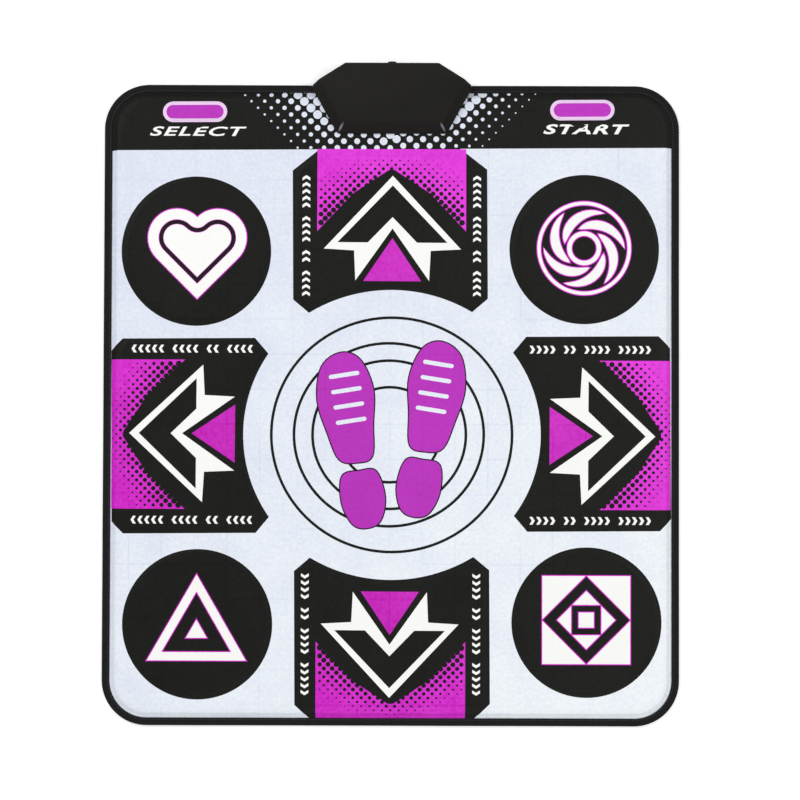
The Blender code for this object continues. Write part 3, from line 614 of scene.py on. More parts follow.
# %% Print: halftone of the band
BAND_PITCH = 18.85
BAND_ROWS = 9.45
BAND_TOP = 447
BAND_STARTS = {-1: (-190.9, 441.3), 1: (138.6, 435.0)}
ROW_NUMBERS = range(-1, 9)
COLUMN_NUMBERS = range(-14, 15)
GROWTH = {
    -1: ([215, 231, 250, 269, 289, 306, 325], [0, 3.2, 4.7, 6.2, 8.3, 9.2, 9.4]),
    1: ([220, 239, 258, 277, 296, 315, 334], [0, 2.3, 3.9, 5.3, 7.8, 10.0, 10.0]),
}
EXTRA_WIDTH = 3.3
NEAR_BOX = (296, 306)
NEAR_REAR = (393, 410)
FRONT_ROWS = 390
FRONT_WIDTHS = ([0, 14, 26, 60], [12.0, 11.0, 9.1, 8.2])
EDGE_WIDTHS = ([366, 370, 373], [8.0, 8.8, 12.0])
WIDE_DOT = 8


def dot_width(side, x, y):
    """The width of the dot at this place, in millimetres."""
    width = np.interp(y - abs(x), *GROWTH[side])
    more = EXTRA_WIDTH * np.interp(y - abs(x), NEAR_BOX, (0, 1))
    if y < FRONT_ROWS:
        return min(width + more, np.interp(abs(x), *FRONT_WIDTHS), np.interp(y, *EDGE_WIDTHS))
    return width + more * np.interp(y, NEAR_REAR, (0, 1))


def band_dots():
    """The place and width of each dot, in millimetres."""
    for side, (start_x, start_y) in BAND_STARTS.items():
        for row in ROW_NUMBERS:
            y = start_y - row * BAND_ROWS
            for column in COLUMN_NUMBERS:
                x = start_x + (column + row % 2 / 2) * BAND_PITCH
                width = dot_width(side, x, y)
                on_band = BAND_START / MM - width / 2 < y < BAND_TOP + width / 2
                if x * side > 0 and width > SMALLEST_DOT and on_band:
                    yield x, y, width


for x, y, width in band_dots():
    dot = circle((x, y), width / 2, 16 if width > WIDE_DOT else 12)
    dot = [(px, min(max(py, BAND_START / MM), BAND_TOP)) for px, py in dot]
    paint(from_mm(dot), "field")
print("shapes", len(shapes))

# %% [markdown]
# A pair of shoe prints stands on the rings, where a player starts. Each is a sole and a heel, drawn
# as a smooth closed curve through a few points, and edged with a thin dark line. The curve is a
# Catmull-Rom spline, which passes through its points and needs no handles.

# %% Print: shoe soles on the rings
SOLE = [(0, 128), (30, 112), (43, 66), (36, 18), (25, -22)]
SOLE += [(0, -30), (-22, -24), (-30, 20), (-38, 70), (-26, 114)]
HEEL = [(0, -42), (25, -46), (31, -84), (20, -116), (0, -124), (-20, -116), (-31, -84), (-24, -46)]
SOLE_PLACES = ((52 * MM, 6 * MM, -9), (-52 * MM, -10 * MM, 9))
SOLE_EDGE = 1.8 * MM
TREADS = (96, 74, 52, 30)
TREAD_LENGTH = 44 * MM
TREAD_WIDTH = 6 * MM


def smooth_loop(points, steps=6):
    """A closed Catmull-Rom curve through the points."""
    p = np.array(points, float)
    found = []
    for i in range(len(p)):
        a, b, c, d = p[i - 1], p[i], p[(i + 1) % len(p)], p[(i + 2) % len(p)]
        for t in np.arange(steps) / steps:
            bend = (2 * a - 5 * b + 4 * c - d) * t**2 + (3 * b - a - 3 * c + d) * t**3
            found.append(tuple((2 * b + (c - a) * t + bend) / 2))
    return found


for x, y, turn in SOLE_PLACES:
    side = math.copysign(1, x)
    for points in (SOLE, HEEL):
        loop = smooth_loop([(side * px, py) for px, py in from_mm(points)])
        loop = loop if side < 0 else loop[::-1]
        loop = turned(loop, turn, rings + (x, y))
        paint(inset(loop, -SOLE_EDGE), "black")
        paint(loop, "violet")
    for level in TREADS:
        bar = capsule((0, 0), TREAD_LENGTH, TREAD_WIDTH, 6)
        bar = turned([(px, py + level * MM) for px, py in bar], turn, rings + (x, y))
        paint(bar, "field")
print("shapes", len(shapes))

# %% [markdown]
# The coated fabric is an oxford weave with a skin of PVC, and the ink lies on that skin. Under a low
# light it shows a fine cross weave, a dull gloss and a slight unevenness in the ink. The weave is
# drawn with a pitch of 2.4 mm, coarser than the real half millimetre, so that it shows. The square grid
# of the sensor layer below shows through as faint lines. One function makes the fabric in each ink,
# from a darker and a lighter tone, with painted light: a gradient that makes one side of the mat lighter.

# %% Material of the printed cover
WEAVE_PITCH = 2.4 * MM
WAVE_PERIOD = 2 * math.pi / 20
# The last value of each ink is the way its painted light gradient runs across the mat.
INKS = {
    "field": ("pvc coated fabric, pale ground", "#dde3f4", "#f6fbff", 0.52, 0.25, (0.5, -0.5)),
    "black": ("pvc coated fabric, black ink", "#141512", "#1f201d", 0.55, 0.12, (0.5, 0.1)),
    "magenta": ("pvc coated fabric, magenta ink", "#d01ac4", "#ee42e8", 0.50, 0.2, (0.6, 0.6)),
    "mauve": ("pvc coated fabric, mauve ink", "#c010b3", "#d93ad0", 0.50, 0.2, (0.6, 0.6)),
    "violet": ("pvc coated fabric, violet ink", "#b42fb6", "#c438c8", 0.50, 0.2, (0.6, 0.6)),
    "white": ("pvc coated fabric, white ink", "#fbfbf6", "#ffffff", 0.50, 0.2, (0, 0)),
    "edge": ("pvc coated fabric, rose ink", "#ecccf0", "#f2daf6", 0.50, 0.2, (0, 0)),
}
GRID_LINES = ((-1.4 * MM, 46.3 * MM), (220.3 * MM, 49.7 * MM))
GRID_LINE_WIDTH = 3.4 * MM
GRID_PATCH = 90 * MM
GRID_SHADE = 0.4
INK_GRAIN = 0.22
THREAD_RELIEF = 0.09 * MM
BACK_RELIEF = 0.15 * MM
FABRIC_RELIEF = 0.5 * MM
NOISE_SPAN = (0.3, 0.7)


def start_material(name, shader_inputs):
    """A material with its tree, its shader and the object's own coordinates."""
    material = bpy.data.materials.new(name)
    material.use_nodes = True
    tree = material.node_tree
    shader = tree.nodes["Principled BSDF"]
    for key, value in shader_inputs.items():
        shader.inputs[key].default_value = value
    return material, tree, shader, add(tree, "ShaderNodeTexCoord").outputs["Object"]


def connect(tree, node, socket):
    tree.links.new(next(output for output in node.outputs if output.enabled), socket)


def two_tones(tree, factor, dark, light):
    """A colour between two hex values."""
    given = {0: factor, 6: hex_colour(dark), 7: hex_colour(light)}
    return add(tree, "ShaderNodeMix", given, data_type="RGBA", clamp_factor=True)


def bumped(tree, shader, height, depth, below=None):
    """Raises the surface by a pattern from 0 to 1 times the depth in metres."""
    bump = add(tree, "ShaderNodeBump", {"Height": height, "Distance": depth, "Strength": 1.0})
    if below is not None:
        connect(tree, below, bump.inputs["Normal"])
    connect(tree, bump, shader.inputs["Normal"])
    return bump


def noise(tree, coords, scale, **values):
    """The level of a noise pattern, which keeps about to NOISE_SPAN."""
    return add(tree, "ShaderNodeTexNoise", {"Vector": coords, "Scale": scale, **values}).outputs["Fac"]


def spread(tree, level, low, high):
    """A noise's level, stretched to run from low to high."""
    return add(tree, "ShaderNodeMapRange", level, *NOISE_SPAN, low, high)


def weave(tree, coords, *pitches):
    """Two crossing waves, as the over and under of threads, with a pitch for each way."""
    waves = []
    for way, pitch in zip("XY", pitches):
        wave = {"Vector": coords, "Scale": WAVE_PERIOD / pitch}
        waves.append(add(tree, "ShaderNodeTexWave", wave, bands_direction=way).outputs["Fac"])
    return add(tree, "ShaderNodeMath", *waves, operation="MULTIPLY")


def grid_below(tree, coords):
    """Where the grid of the sensor layer shows through: 1 on its lines, fading in and out along them."""
    parts = add(tree, "ShaderNodeSeparateXYZ", coords).outputs
    lines = []
    for part, (start, pitch) in zip((parts["X"], parts["Y"]), GRID_LINES):
        place = add(tree, "ShaderNodeMath", part, start, operation="SUBTRACT")
        away = add(tree, "ShaderNodeMath", place, pitch / 2, operation="PINGPONG")
        lines.append(add(tree, "ShaderNodeMapRange", away, 0.0, GRID_LINE_WIDTH / 2, 1.0, 0.0))
    both = add(tree, "ShaderNodeMath", *lines, operation="MAXIMUM")
    fade = noise(tree, coords, 1 / GRID_PATCH, Detail=1.0)
    fade = add(tree, "ShaderNodeMapRange", fade, 0.42, 0.62, 0.0, 1.0)
    return add(tree, "ShaderNodeMath", both, fade, operation="MULTIPLY")


def printed_fabric(name, dark, light, roughness, gloss, painted_light_slope):
    material, tree, shader, coords = start_material(name, {"Specular IOR Level": gloss})
    # A painted light gradient: each ink grows lighter along its own way across the mat.
    painted_light_slope = add(tree, "ShaderNodeVectorMath", coords, (*painted_light_slope, 0), operation="DOT_PRODUCT").outputs["Value"]
    cloud = noise(tree, coords, 14.0, Detail=5.0, Roughness=0.65)
    speck = noise(tree, coords, 1 / (5 * MM), Detail=2.0)
    level = add(tree, "ShaderNodeMath", cloud, painted_light_slope, operation="ADD")
    level = add(tree, "ShaderNodeMath", level, spread(tree, speck, -INK_GRAIN, INK_GRAIN), operation="ADD")
    lines = add(tree, "ShaderNodeMath", grid_below(tree, coords), GRID_SHADE, operation="MULTIPLY")
    level = add(tree, "ShaderNodeMath", level, lines, operation="SUBTRACT")
    connect(tree, two_tones(tree, level, dark, light), shader.inputs["Base Color"])
    dull = spread(tree, cloud, roughness - 0.05, roughness + 0.07)
    connect(tree, dull, shader.inputs["Roughness"])
    threads = bumped(tree, shader, weave(tree, coords, WEAVE_PITCH, WEAVE_PITCH), THREAD_RELIEF)
    creases = noise(tree, coords, 22.0, Detail=4.0, Distortion=0.6)
    bumped(tree, shader, creases, FABRIC_RELIEF, threads)
    return material


inks = {ink: printed_fabric(*values) for ink, values in INKS.items()}
print("inks", list(inks))

# %% [markdown]
# The back of the cover is the bare weave, which shows only where the sheet is turned over or pulled
# out of the box. It gets the same threads with no ink on them.

# %% Material of the cover's back
def bare_weave():
    material, tree, shader, coords = start_material("polyester oxford weave, grey", {"Roughness": 0.9})
    threads = weave(tree, coords, WEAVE_PITCH, WEAVE_PITCH)
    connect(tree, two_tones(tree, threads, "#8b8d92", "#b9bbc0"), shader.inputs["Base Color"])
    bumped(tree, shader, threads, BACK_RELIEF)
    return material


inks["back"] = bare_weave()
print("back", inks["back"].name)

# %% [markdown]
# The cover is one sheet, but it isn't flat. It slopes down to the bound edge, the binding puckers it
# a little, the edge lifts here and there, old folds cross it, and the flat between the zones has slow
# waves. All of that is one height for each point in plan. The waves are sums of a few sines in
# seeded directions, and they fade out where the sheet has to meet something: a collar or the box.

# %% Height of the cover
PUCKER = 0.32 * MM
PUCKER_LENGTH = 30 * MM
LIFT = 0.9 * MM
LIFT_LENGTH = 260 * MM
WAVE = 0.9 * MM
WAVE_LENGTH = 170 * MM
CREASES = ((-286 * MM, 0.45 * MM), (-92 * MM, 0.25 * MM), (276 * MM, 0.45 * MM), (338 * MM, 0.3 * MM))
CREASE_WIDTH = 5 * MM
SKIN_AT_EDGE = 3.2 * MM
HEM_CALM = 45 * MM
WAVE_CALM = 26 * MM
CREASE_CALM = 10 * MM


def ripple(points, length, seed):
    """A smooth uneven wave over the plane, about from -1 to 1."""
    random = np.random.default_rng(seed)
    total = np.zeros(len(points))
    for _ in range(6):
        angle = random.uniform(0, 2 * math.pi)
        number = 2 * math.pi / (length * random.uniform(0.7, 1.5))
        along = points @ np.array([math.cos(angle), math.sin(angle)])
        total += np.sin(number * along + random.uniform(0, 2 * math.pi))
    return np.clip(total / 3, -1, 1)


def edge_depth(points):
    """How far inside the mat's outline each point lies, and the way out."""
    corner = np.abs(points) - (mat_half - CORNER_RADIUS)
    beyond = np.maximum(corner, 0)
    length = np.linalg.norm(beyond, axis=1)
    depth = CORNER_RADIUS - length - np.minimum(corner.max(axis=1), 0)
    nearer = (corner[:, [0]] > corner[:, [1]]) * [1.0, -1.0] + [0.0, 1.0]
    way = np.where(length[:, None] > 1e-9, beyond / np.maximum(length, 1e-9)[:, None], nearer)
    return depth, way * np.sign(points)


def hem_shift(points):
    """The lift and the puckers of the bound edge, fading out where the foam begins."""
    depth, way = edge_depth(points)
    foot = points + way * depth[:, None]
    calm = smooth_step(-depth_in(case_plan, points) / HEM_CALM) * smooth_step(1 - depth / SLOPE_HEAD)
    lift = LIFT * smooth_step(0.5 + 0.5 * ripple(foot, LIFT_LENGTH, seed=5))
    return calm * (lift + PUCKER * (0.6 + 0.4 * ripple(foot, PUCKER_LENGTH, seed=3)))


def calm_near(points, reach):
    """0 at the zones and the box, and 1 well away from them."""
    calm = smooth_step(-depth_in(case_plan, points) / reach)
    for outline in outlines.values():
        calm = np.minimum(calm, smooth_step(-depth_in(outline, points) / reach))
    return calm


def cover_height(points):
    depth, _ = edge_depth(points)
    slope = smooth_step((depth - SLOPE_FOOT) / (SLOPE_HEAD - SLOPE_FOOT))
    flat = WAVE * (0.5 + 0.5 * ripple(points, WAVE_LENGTH, seed=11)) * calm_near(points, WAVE_CALM)
    folds = sum(size * np.exp(-(((points[:, 0] - x) / CREASE_WIDTH) ** 2)) for x, size in CREASES)
    folds = folds * smooth_step(calm_near(points, CREASE_CALM))
    return SKIN_AT_EDGE + (cover_top - SKIN_AT_EDGE) * slope + (flat + folds) * slope + hem_shift(points)


print("cover at the rings", round(float(cover_height(rings[None])[0]), 4), "m")

# %% [markdown]
# To give each ink its own faces, the sheet is cut along every printed outline. A constrained Delaunay
# triangulation does that: it takes the outlines and a grid of points between them, and returns
# triangles that never cross an outline. Each triangle then gets the ink of the last shape over its
# middle. The print stays sharp at any distance, and the sheet is still one mesh.

# %% Cut a sheet along its print
GRID = 11 * MM
CLEAR = 2.2 * MM
ALIKE = 1e-6


def edges_of(loops):
    edges, count = [], 0
    for loop in loops:
        edges += [(count + i, count + (i + 1) % len(loop)) for i in range(len(loop))]
        count += len(loop)
    return edges


def grid_between(loops, low, high, pitch):
    """Staggered points over the box that keep clear of every loop."""
    xs = np.arange(low[0], high[0], pitch)
    ys = np.arange(low[1], high[1], pitch * math.sin(math.radians(60)))
    x, y = np.meshgrid(xs, ys)
    x = x + np.where(np.arange(len(ys)) % 2, pitch / 2, 0)[:, None]
    points = np.stack([x.ravel(), y.ravel()], axis=1)
    for loop in loops:
        near = np.flatnonzero(in_box(points, loop, CLEAR))
        if len(near):
            points = np.delete(points, near[np.abs(depth_in(loop, points[near])) < CLEAR], axis=0)
    return points


def in_box(points, loop, margin=0.0):
    """True for each point in the box round a loop."""
    low, high = np.min(loop, axis=0) - margin, np.max(loop, axis=0) + margin
    return ((points > low) & (points < high)).all(axis=1)


def triangulated(loops, between):
    """Points and triangles that keep each loop's edges, and the middle of each triangle."""
    points = np.concatenate([*(np.array(loop, float) for loop in loops), between])
    result = delaunay_2d_cdt([Vector(p) for p in points], edges_of(loops), [], 0, ALIKE)
    points = np.array([tuple(p) for p in result[0]])
    triangles = np.array(result[2])
    return points, triangles, points[triangles].mean(axis=1)


def cut_sheet(region, holes=(), seams=(), pitch=GRID, ground="field"):
    """Points and triangles over the region without its holes, and the ink of each triangle."""
    bounds = np.array(region)
    low, high = bounds.min(axis=0), bounds.max(axis=0)
    near = [
        (outline, ink)
        for outline, ink in shapes
        if (np.max(outline, axis=0) > low).all() and (np.min(outline, axis=0) < high).all()
    ]
    loops = [region, *holes, *seams, *(outline for outline, _ in near)]
    points, triangles, middles = triangulated(loops, grid_between(loops, low, high, pitch))
    keep = inside(region, middles)
    for hole in holes:
        keep &= ~inside(hole, middles)
    triangles, middles = triangles[keep], middles[keep]
    found = np.full(len(triangles), ground, dtype=object)
    for outline, ink in near:
        close = np.flatnonzero(in_box(middles, outline))
        found[close[inside(outline, middles[close])]] = ink
    used, places = np.unique(triangles, return_inverse=True)
    return points[used], places.reshape(-1, 3), found


def sheet_object(name, points, triangles, found, top, low):
    """A closed mesh between two heights, its upper faces in their inks."""
    count = len(points)
    vertices = np.vstack([np.c_[points, top], np.c_[points, low]])
    sides = triangles[:, [0, 1, 1, 2, 2, 0]].reshape(-1, 2)
    key = np.sort(sides, axis=1)
    _, index, times = np.unique(key, axis=0, return_index=True, return_counts=True)
    border = index[times == 1]
    a, b = sides[border].T
    walls = np.stack([a + count, b + count, b, a], axis=1)
    faces = triangles.tolist() + (triangles[:, ::-1] + count).tolist() + walls.tolist()
    mesh = bpy.data.meshes.new(name)
    mesh.from_pydata(vertices.tolist(), [], faces)
    names = [ink for ink in inks if ink == "back" or (found == ink).any()]
    number = {ink: i for i, ink in enumerate(names)}
    upper = [number[ink] for ink in found]
    indices = upper + [number["back"]] * len(triangles) + [upper[i // 3] for i in border]
    obj = place_object(name, mesh, [inks[ink] for ink in names])
    mesh.polygons.foreach_set("material_index", indices)
    mesh.validate()
    return shade(obj, 50)

# %% [markdown]
# Now the cover itself: the whole mat inside its binding, less the ten zones and the mouth at the box.
# Four seams that follow the edge give the slope its own rows of points, so that it bends evenly.

# %% The printed cover
EDGE_SPACING = 6 * MM
SLOPE_ROWS = 3


def mat_loop(depth, spacing=EDGE_SPACING):
    """The mat's outline at this depth inside it, with evenly spaced points."""
    half, radius = mat_half - depth, CORNER_RADIUS - depth
    loop = []
    corners = ((1, -1, -90), (1, 1, 0), (-1, 1, 90), (-1, -1, 180))
    steps = max(4, int(radius * math.pi / 2 / spacing))
    for x, y, start in corners:
        loop += arc((x * (half[0] - radius), y * (half[1] - radius)), radius, start, start + 90, steps)
    even = []
    for i, (x, y) in enumerate(loop):
        next_x, next_y = loop[(i + 1) % len(loop)]
        cuts = max(1, round(math.hypot(next_x - x, next_y - y) / spacing))
        even += [(x + (next_x - x) * k / cuts, y + (next_y - y) * k / cuts) for k in range(cuts)]
    return even


def make_cover():
    slope = SLOPE_HEAD - SLOPE_FOOT
    seams = [mat_loop(SLOPE_FOOT + slope * k / SLOPE_ROWS) for k in range(SLOPE_ROWS + 1)]
    holes = [*outlines.values(), mouth]
    points, triangles, found = cut_sheet(mat_loop(SKIN_INSET), holes, seams)
    top = cover_height(points)
    cover = sheet_object("printed_cover", points, triangles, found, top, top - COVER_THICKNESS)
    corners = points[triangles]
    one, other = corners[:, 1] - corners[:, 0], corners[:, 2] - corners[:, 0]
    area = (one[:, 0] * other[:, 1] - one[:, 1] * other[:, 0]).sum() / 2
    return cover, area


cover, cover_area = make_cover()
print("cover", triangles_in(cover), "triangles,", round(cover_area, 3), "square metres")

# %% [markdown]
# Each zone is two pieces. The collar is the ring of cover that slopes up to the zone. It stays with
# the mat. The face inside it rides on the zone. It has a slight crown, because the foam under it
# pushes the fabric up.

# %% Collars and pad faces
CROWN = 0.55 * MM
CROWN_REACH = 34 * MM
CROWN_WAVE = 60 * MM
COLLAR_ROWS = 4
FACE_SEAMS = (1.5 * MM, 4 * MM)
PAD_GRID = 9 * MM


def make_zone(name):
    outline, collar_width = outlines[name], collar_of(name)
    brow = inset(outline, collar_width)
    seams = [inset(outline, collar_width * k / COLLAR_ROWS) for k in range(1, COLLAR_ROWS)]
    points, triangles, found = cut_sheet(outline, [brow], seams, PAD_GRID)
    top = cover_top + travel * smooth_step(depth_in(outline, points) / collar_width)
    collar = sheet_object(f"{name}_collar", points, triangles, found, top, top - COVER_THICKNESS)
    edge = inset(outline, collar_width + SEAM_GAP)
    seams = [inset(edge, depth) for depth in FACE_SEAMS]
    points, triangles, found = cut_sheet(edge, [], seams, PAD_GRID)
    rise = smooth_step(depth_in(edge, points) / CROWN_REACH)
    top = pad_top + CROWN * rise * (0.8 + 0.2 * ripple(points, CROWN_WAVE, seed=7))
    face = sheet_object(f"{name}_face", points, triangles, found, top, np.full(len(points), pad_low))
    return collar, face


zones = {name: make_zone(name) for name in NAMES}
print("zones", sum(triangles_in(piece) for pair in zones.values() for piece in pair), "triangles")

# %% [markdown]
# Marks, dots, stitches and screws repeat, so Geometry Nodes place them. Each tree has named inputs for
# its sizes and ends in Realize Instances and Set Material. The helper below gives a tree its inputs, and
# the one after it runs a tree on a mesh and keeps the result as a plain mesh.

# %% Helpers for Geometry Nodes
def new_tree(name, **inputs):
    """A geometry tree with a Geometry input and these others, each a socket kind and a value."""
    tree = bpy.data.node_groups.new(name, "GeometryNodeTree")
    tree.interface.new_socket("Geometry", in_out="OUTPUT", socket_type="NodeSocketGeometry")
    tree.interface.new_socket("Geometry", in_out="INPUT", socket_type="NodeSocketGeometry")
    for title, kind in {**inputs, "material": "NodeSocketMaterial"}.items():
        tree.interface.new_socket(title, in_out="INPUT", socket_type=kind)
    return tree, tree.nodes.new("NodeGroupInput").outputs


def end_tree(tree, instances, given):
    """Makes the copies real, gives them their material and ends the tree."""
    real = add(tree, "GeometryNodeRealizeInstances", instances)
    painted = add(tree, "GeometryNodeSetMaterial", {"Geometry": real, "Material": given["material"]})
    add(tree, "NodeGroupOutput", painted)


def run_tree(tree, name, source, **values):
    """Runs the tree on a mesh, and keeps what it makes as a plain mesh."""
    maker = place_object(f"{name}_maker", source)
    modifier = maker.modifiers.new("grow", "NODES")
    modifier.node_group = tree
    for socket in tree.interface.items_tree:
        if socket.in_out == "INPUT" and socket.name in values:
            modifier[socket.identifier] = values[socket.name]
    maker.update_tag()
    graph = bpy.context.evaluated_depsgraph_get()
    mesh = bpy.data.meshes.new_from_object(maker.evaluated_get(graph), depsgraph=graph)
    maker.modifiers.clear()
    bpy.data.objects.remove(maker)
    mesh.name = name
    return place_object(name, mesh)


def points_mesh(name, points, edges=(), **attributes):
    """Loose points, or a line through them, with numbers for a tree to read."""
    mesh = bpy.data.meshes.new(name)
    mesh.from_pydata([tuple(point) for point in points], list(edges), [])
    for title, values in attributes.items():
        mesh.attributes.new(title, "FLOAT", "POINT").data.foreach_set("value", list(values))
    return mesh


FLOAT, OBJECT = "NodeSocketFloat", "NodeSocketObject"
print("trees can be built")

# %% [markdown]
# Down both sides of each arrow panel runs a row of small white chevrons, in four groups. They are
# thin raised prints. The tree puts a chevron on each point, turned by the point's own number, and
# then drops every corner straight down onto the zone's crowned face with a raycast. That is why it
# realizes the chevrons before it moves them.

# %% Chevron prints on the arrow panels
MARK_GROUPS = (4, 2, 4, 5)
MARK_PITCH = 9.7 * MM
MARK_SPACE = 9.7 * MM
MARK_START = 200.5 * MM
MARK_ACROSS = 121.5 * MM
MARK_HEIGHT = 11 * MM
MARK_WIDTH = 7.6 * MM
MARK_STROKE = 4.2 * MM
PRINT_RELIEF = 0.12 * MM
RAY_START = 0.1


def prism_mesh(name, outline, low, high):
    """A closed solid with this outline."""
    bm = bmesh.new()
    loops = [[bm.verts.new((x, y, z)) for x, y in outline] for z in (low, high)]
    bm.faces.new(loops[0][::-1])
    bm.faces.new(loops[1])
    for i in range(len(outline)):
        j = (i + 1) % len(outline)
        bm.faces.new((loops[0][i], loops[0][j], loops[1][j], loops[1][i]))
    bmesh.ops.recalc_face_normals(bm, faces=bm.faces)
    mesh = bpy.data.meshes.new(name)
    bm.to_mesh(mesh)
    bm.free()
    return mesh


def chevron_tree():
    inputs = {"mark": OBJECT, "target": OBJECT}
    tree, given = new_tree("prints dropped on a surface", **inputs)
    mark = add(tree, "GeometryNodeObjectInfo", given["mark"]).outputs["Geometry"]
    target = add(tree, "GeometryNodeObjectInfo", given["target"]).outputs["Geometry"]
    turn = add(tree, "GeometryNodeInputNamedAttribute", "turn", data_type="FLOAT")
    turn = add(tree, "ShaderNodeCombineXYZ", {"Z": turn})
    copies = {"Points": given["Geometry"], "Instance": mark, "Rotation": turn}
    copies = add(tree, "GeometryNodeInstanceOnPoints", copies)
    copies = add(tree, "GeometryNodeRealizeInstances", copies)
    place = add(tree, "GeometryNodeInputPosition")
    parts = add(tree, "ShaderNodeSeparateXYZ", place).outputs
    above = add(tree, "ShaderNodeCombineXYZ", parts["X"], parts["Y"], RAY_START)
    ray = {"Target Geometry": target, "Source Position": above, "Ray Direction": (0, 0, -1), "Ray Length": 1}
    hit = add(tree, "GeometryNodeRaycast", ray).outputs["Hit Position"]
    ground = add(tree, "ShaderNodeSeparateXYZ", hit).outputs["Z"]
    height = add(tree, "ShaderNodeMath", ground, parts["Z"], operation="ADD")
    dropped = add(tree, "ShaderNodeCombineXYZ", parts["X"], parts["Y"], height)
    moved_copies = add(tree, "GeometryNodeSetPosition", {"Geometry": copies, "Position": dropped})
    end_tree(tree, moved_copies, given)
    return tree


def chevron_mesh():
    half, tip, stroke = MARK_HEIGHT / 2, MARK_WIDTH / 2, MARK_STROKE
    outline = [(-tip, -half), (stroke - tip, -half), (tip, 0)]
    outline += [(stroke - tip, half), (-tip, half), (tip - stroke, 0)]
    return prism_mesh("chevron", outline, -PRINT_RELIEF, PRINT_RELIEF)


def mark_places():
    """How far out each chevron of a row lies."""
    along, places = MARK_START, []
    for count in MARK_GROUPS:
        places += [along + MARK_PITCH * i for i in range(count)]
        along = places[-1] + MARK_PITCH + MARK_SPACE
    return places


chevron = place_object("chevron", chevron_mesh())
drop_prints = chevron_tree()
marks = {}
for name, angle in ANGLES.items():
    rows = [(x, side * MARK_ACROSS) for side in (-1, 1) for x in mark_places()]
    points = [(x, y, 0) for x, y in turned(rows, angle, rings)]
    source = points_mesh("chevron_points", points, turn=[math.radians(angle)] * len(points))
    values = {"mark": chevron, "target": zones[name][1], "material": inks["white"]}
    marks[name] = run_tree(drop_prints, f"{name}_marks", source, **values)
bpy.data.objects.remove(chevron)
print("chevrons", sum(triangles_in(piece) for piece in marks.values()), "triangles")

# %% [markdown]
# The words under the two capsule zones name what they do, and are set in Blender's own font: sheared,
# made bold and stretched to the wide letters of such mats. A text object becomes a mesh first. Its
# points are then scaled to the size of the print and laid on the cover.

# %% Words under the capsule zones
WORDS = {
    "select": ("SELECT", 0.021, -276, 388.7, 138, 13.5),
    "start": ("START", 0.032, 277, 393.1, 123, 14.3),
}
WORD_SPACE = 1.14
WORD_SHEAR = 0.28
WORD_MERGE = 0.001 * MM


def make_word(name, text, bold, x, y, width, height):
    """A word as raised ink, its middle and its size in millimetres."""
    curve = bpy.data.curves.new(name, "FONT")
    curve.body = text
    curve.shear = WORD_SHEAR
    curve.offset = bold
    curve.space_character = WORD_SPACE
    curve.extrude = 0.1
    curve.resolution_u = 4
    writer = bpy.data.objects.new(name, curve)
    scene.collection.objects.link(writer)
    graph = bpy.context.evaluated_depsgraph_get()
    mesh = bpy.data.meshes.new_from_object(writer.evaluated_get(graph), depsgraph=graph)
    bpy.data.objects.remove(writer)
    points = np.array([tuple(vertex.co) for vertex in mesh.vertices])
    low, high = points.min(axis=0), points.max(axis=0)
    shares = (points - (low + high) / 2) / (high - low)
    plan = shares[:, :2] * (width * MM, height * MM) + (x * MM, y * MM)
    ground = cover_height(plan)
    mesh.vertices.foreach_set("co", np.c_[plan, ground + shares[:, 2] * 2 * PRINT_RELIEF].ravel())
    bm = bmesh.new()
    bm.from_mesh(mesh)
    bmesh.ops.remove_doubles(bm, verts=bm.verts, dist=WORD_MERGE)
    bmesh.ops.recalc_face_normals(bm, faces=bm.faces)
    bm.to_mesh(mesh)
    bm.free()
    mesh.materials.clear()
    return place_object(f"{name}_word", mesh, [inks["white"]])


words = {name: make_word(name, *values) for name, values in WORDS.items()}
print("words", [triangles_in(word) for word in words.values()])

# %% [markdown]
# The binding is a woven tape, folded over the raw edges of both skins and sewn through. It is a sweep:
# one closed profile of a folded tape, carried round the mat with the waves and puckers of the hem. Its
# ends are cut at a slant to fit against the box. The profile is given as a depth inside the mat's edge
# and a height. A UV map, in metres along the tape and across it, carries the weave round the corners.

# %% Edge binding
TAPE_TOP = mat_high.z
TAPE_ROUND = 1.6 * MM
STITCH_DEPTH = 8.6 * MM
STITCH_GROOVE = 0.35 * MM
GROOVE_WIDTH = 0.5 * MM
TAPE_STEPS = (0, 0.1, 0.7, 1.3, 1.7, 2, 2.4, 2.8, 3.2, 3.8, 5, 7, 8.4)
TAPE_FOLD = 1 * MM
LIP_CORNER = 0.2 * MM
TAPE_SPACING = 5 * MM
TAPE_END_ROOM = 4 * MM
RIB_PITCH = 1.1 * MM
CORD_PITCH = 1.6 * MM


def tape_profile():
    """The closed profile of the folded tape, from its upper lip out and round to its lower lip."""
    depths = TAPE_WIDTH - np.array(TAPE_STEPS) * MM
    groove = STITCH_GROOVE * np.exp(-(((depths - STITCH_DEPTH) / GROOVE_WIDTH) ** 2))
    corner = np.where(depths == TAPE_WIDTH, LIP_CORNER, 0)
    outer = [(d, TAPE_TOP - g - c) for d, g, c in zip(depths, groove, corner)]
    outer += arc((TAPE_ROUND, TAPE_TOP - TAPE_ROUND), TAPE_ROUND, 90, 180, 4)
    outer += arc((TAPE_ROUND, TAPE_ROUND), TAPE_ROUND, 180, 270, 4)
    outer += [(d, g + c) for d, g, c in zip(depths[::-1], groove[::-1], corner[::-1])]
    low, high = TAPE_THICKNESS, TAPE_TOP - TAPE_THICKNESS
    fold = TAPE_THICKNESS + TAPE_FOLD
    inner = [(TAPE_WIDTH, low), (fold, low), (TAPE_THICKNESS, fold)]
    return outer + inner + [(TAPE_THICKNESS, high - TAPE_FOLD), (fold, high), (TAPE_WIDTH, high)]


